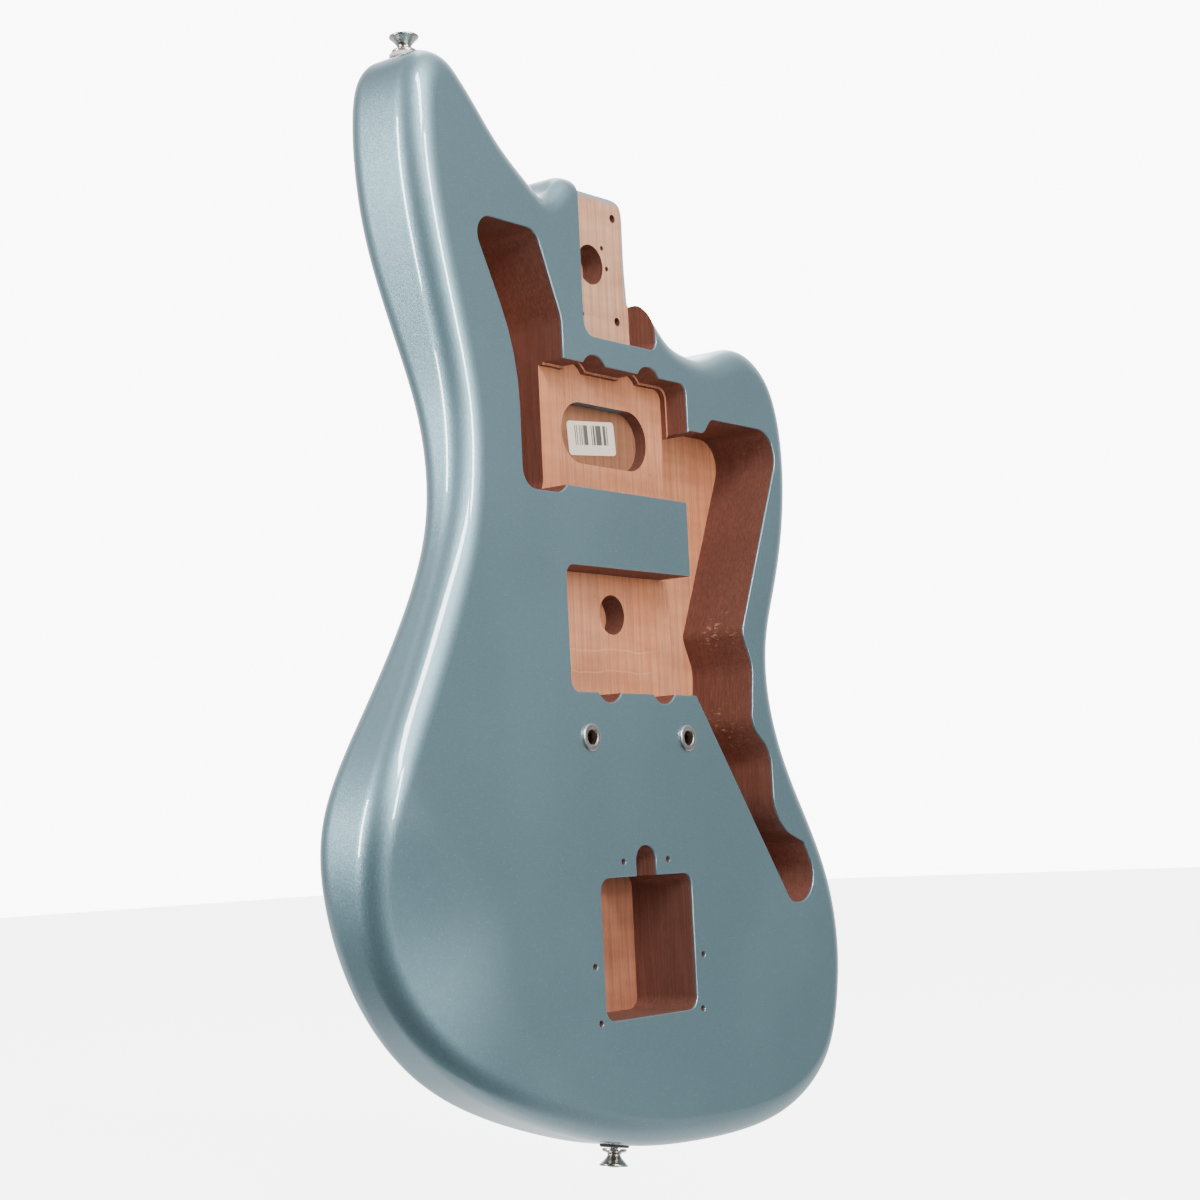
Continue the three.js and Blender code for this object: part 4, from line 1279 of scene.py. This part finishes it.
def make_world():
    """A white backdrop for the camera, and a light tent with a dark front for the reflections."""
    world = bpy.data.worlds.new("studio")
    bpy.context.scene.world = world
    world.use_nodes = True
    world.node_tree.nodes.clear()
    sky = Nodes(world.node_tree, "Generated")
    behind = math.radians(CAMERA_AZIMUTH)
    toward = sky.x * math.cos(behind) + sky.y * math.sin(behind)
    across = sky.y * math.cos(behind) - sky.x * math.sin(behind)
    turn = sky.math("ARCTAN2", across, toward) * (180 / math.pi)
    right_wall = sky.grow(turn, 38, 43) * sky.grow(turn, 110, 44)
    left_wall = sky.grow(turn, -55, -59) * sky.grow(turn, -120, -60)
    rear = sky.grow(abs(turn), 110, 150)
    low = sky.grow(sky.z, -0.1, -0.24)
    high = sky.grow(sky.z, 0.35, 0.8)
    room = 0.1 + sky.grow(sky.z, -0.2, 0.4) * 0.2 + right_wall * 0.6 + left_wall * 0.4 + rear
    room = room + sky.grow(abs(turn), 152, 178) * 3.5
    room = room * (1 - low * 0.9) + high * 0.12
    ground = low * sky.grow(abs(turn), 80, 130) * 0.9
    backdrop = sky.node("ShaderNodeBackground", {}, {"Color": (1, 1, 1), "Strength": 10.0})
    tent = {"Color": (0.93, 0.98, 1), "Strength": room + ground}
    tent = sky.node("ShaderNodeBackground", {}, tent)
    seen = sky.node("ShaderNodeLightPath", {}, {}).outputs["Is Camera Ray"]
    parts = {0: seen, 1: tent.outputs[0], 2: backdrop.outputs[0]}
    both = sky.node("ShaderNodeMixShader", {}, parts)
    sky.node("ShaderNodeOutputWorld", {}, {"Surface": both.outputs[0]})


class MakeStage(bpy.types.Operator):
    """Adds the floor, the soft studio lights and the camera"""

    bl_idname = "guitarbody.make_stage"
    bl_label = "Stage"

    def execute(self, context):
        object_mode()
        bpy.ops.object.select_all(action="DESELECT")
        bpy.ops.mesh.primitive_plane_add(size=12, location=(0, 0, FLOOR_HEIGHT))
        floor = context.active_object
        floor.name = "studio_floor"
        floor.visible_glossy = False
        floor.visible_diffuse = False
        paint = Finish("floor paint")
        paint.set(Base_Color=(0.9, 0.9, 0.9), Roughness=0.9)
        paint.set(Emission_Color=(1, 1, 1), Emission_Strength=5.0)
        floor.data.materials.append(paint.material)
        add_strip("right_box", -98.4, 7, 2.8, 0.32, 1.3, 6, 60)
        add_strip("right_box_top", -119, 33, 2.8, 0.34, 1.5, 40, 68)
        add_strip("left_box", 156.5, 8, 2.8, 0.34, 1.5, 0, 76)
        add_strip("top_box", -70, 75, 2.6, 2.0, 2.0, 0, 9)
        fill = add_strip("front_fill", -150, -12, 2.4, 2.2, 2.0, 0, 7)
        fill.visible_glossy = False
        fill = add_strip("low_fill", -96, -62, 2.2, 2.0, 2.0, 0, 36)
        fill.visible_glossy = False
        make_world()
        self.camera(context)
        return {"FINISHED"}

    def camera(self, context):
        across = CAMERA_FORWARD.cross(CAMERA_UP).normalized()
        up = across.cross(CAMERA_FORWARD).normalized()
        turn = Matrix((across, up, -CAMERA_FORWARD.normalized())).transposed()
        bpy.ops.object.camera_add(location=CAMERA_PLACE, rotation=turn.to_euler())
        camera = context.active_object
        camera.data.lens = CAMERA_LENS
        camera.data.sensor_width = 36
        camera.data.sensor_fit = "HORIZONTAL"
        camera.data.shift_x, camera.data.shift_y = CAMERA_SHIFT
        camera.data.clip_start = 0.01
        camera.data.clip_end = 50
        context.scene.camera = camera


GROUPS = {
    "blank_sizes": BlankSizes,
    "rout_sizes": RoutSizes,
    "hardware_sizes": HardwareSizes,
    "body_colours": BodyColours,
}
STEPS = (MakeBoards, MakeThimbles, MakeStrapButtons, MakeLabel, MakeStage)


class GuitarBodyPanel(bpy.types.Panel):
    bl_idname = "VIEW3D_PT_guitar_body"
    bl_label = "Guitar Body"
    bl_space_type = "VIEW_3D"
    bl_region_type = "UI"
    bl_category = "Guitar Body"

    def draw(self, context):
        for group_name, group in GROUPS.items():
            box = self.layout.box()
            for name in group.__annotations__:
                box.prop(getattr(context.scene, group_name), name)
        for step in STEPS:
            self.layout.operator(step.bl_idname)


def register():
    for group_name, group in GROUPS.items():
        bpy.utils.register_class(group)
        setattr(bpy.types.Scene, group_name, bpy.props.PointerProperty(type=group))
    for entry in (*STEPS, GuitarBodyPanel):
        bpy.utils.register_class(entry)


def unregister():
    for entry in reversed((*STEPS, GuitarBodyPanel)):
        bpy.utils.unregister_class(entry)
    for group_name, group in reversed(GROUPS.items()):
        delattr(bpy.types.Scene, group_name)
        bpy.utils.unregister_class(group)


def main():
    register()
    for name in ("boards", "thimbles", "strap_buttons", "label", "stage"):
        getattr(bpy.ops.guitarbody, f"make_{name}")()
    object_mode()


if __name__ == "__main__":
    main()
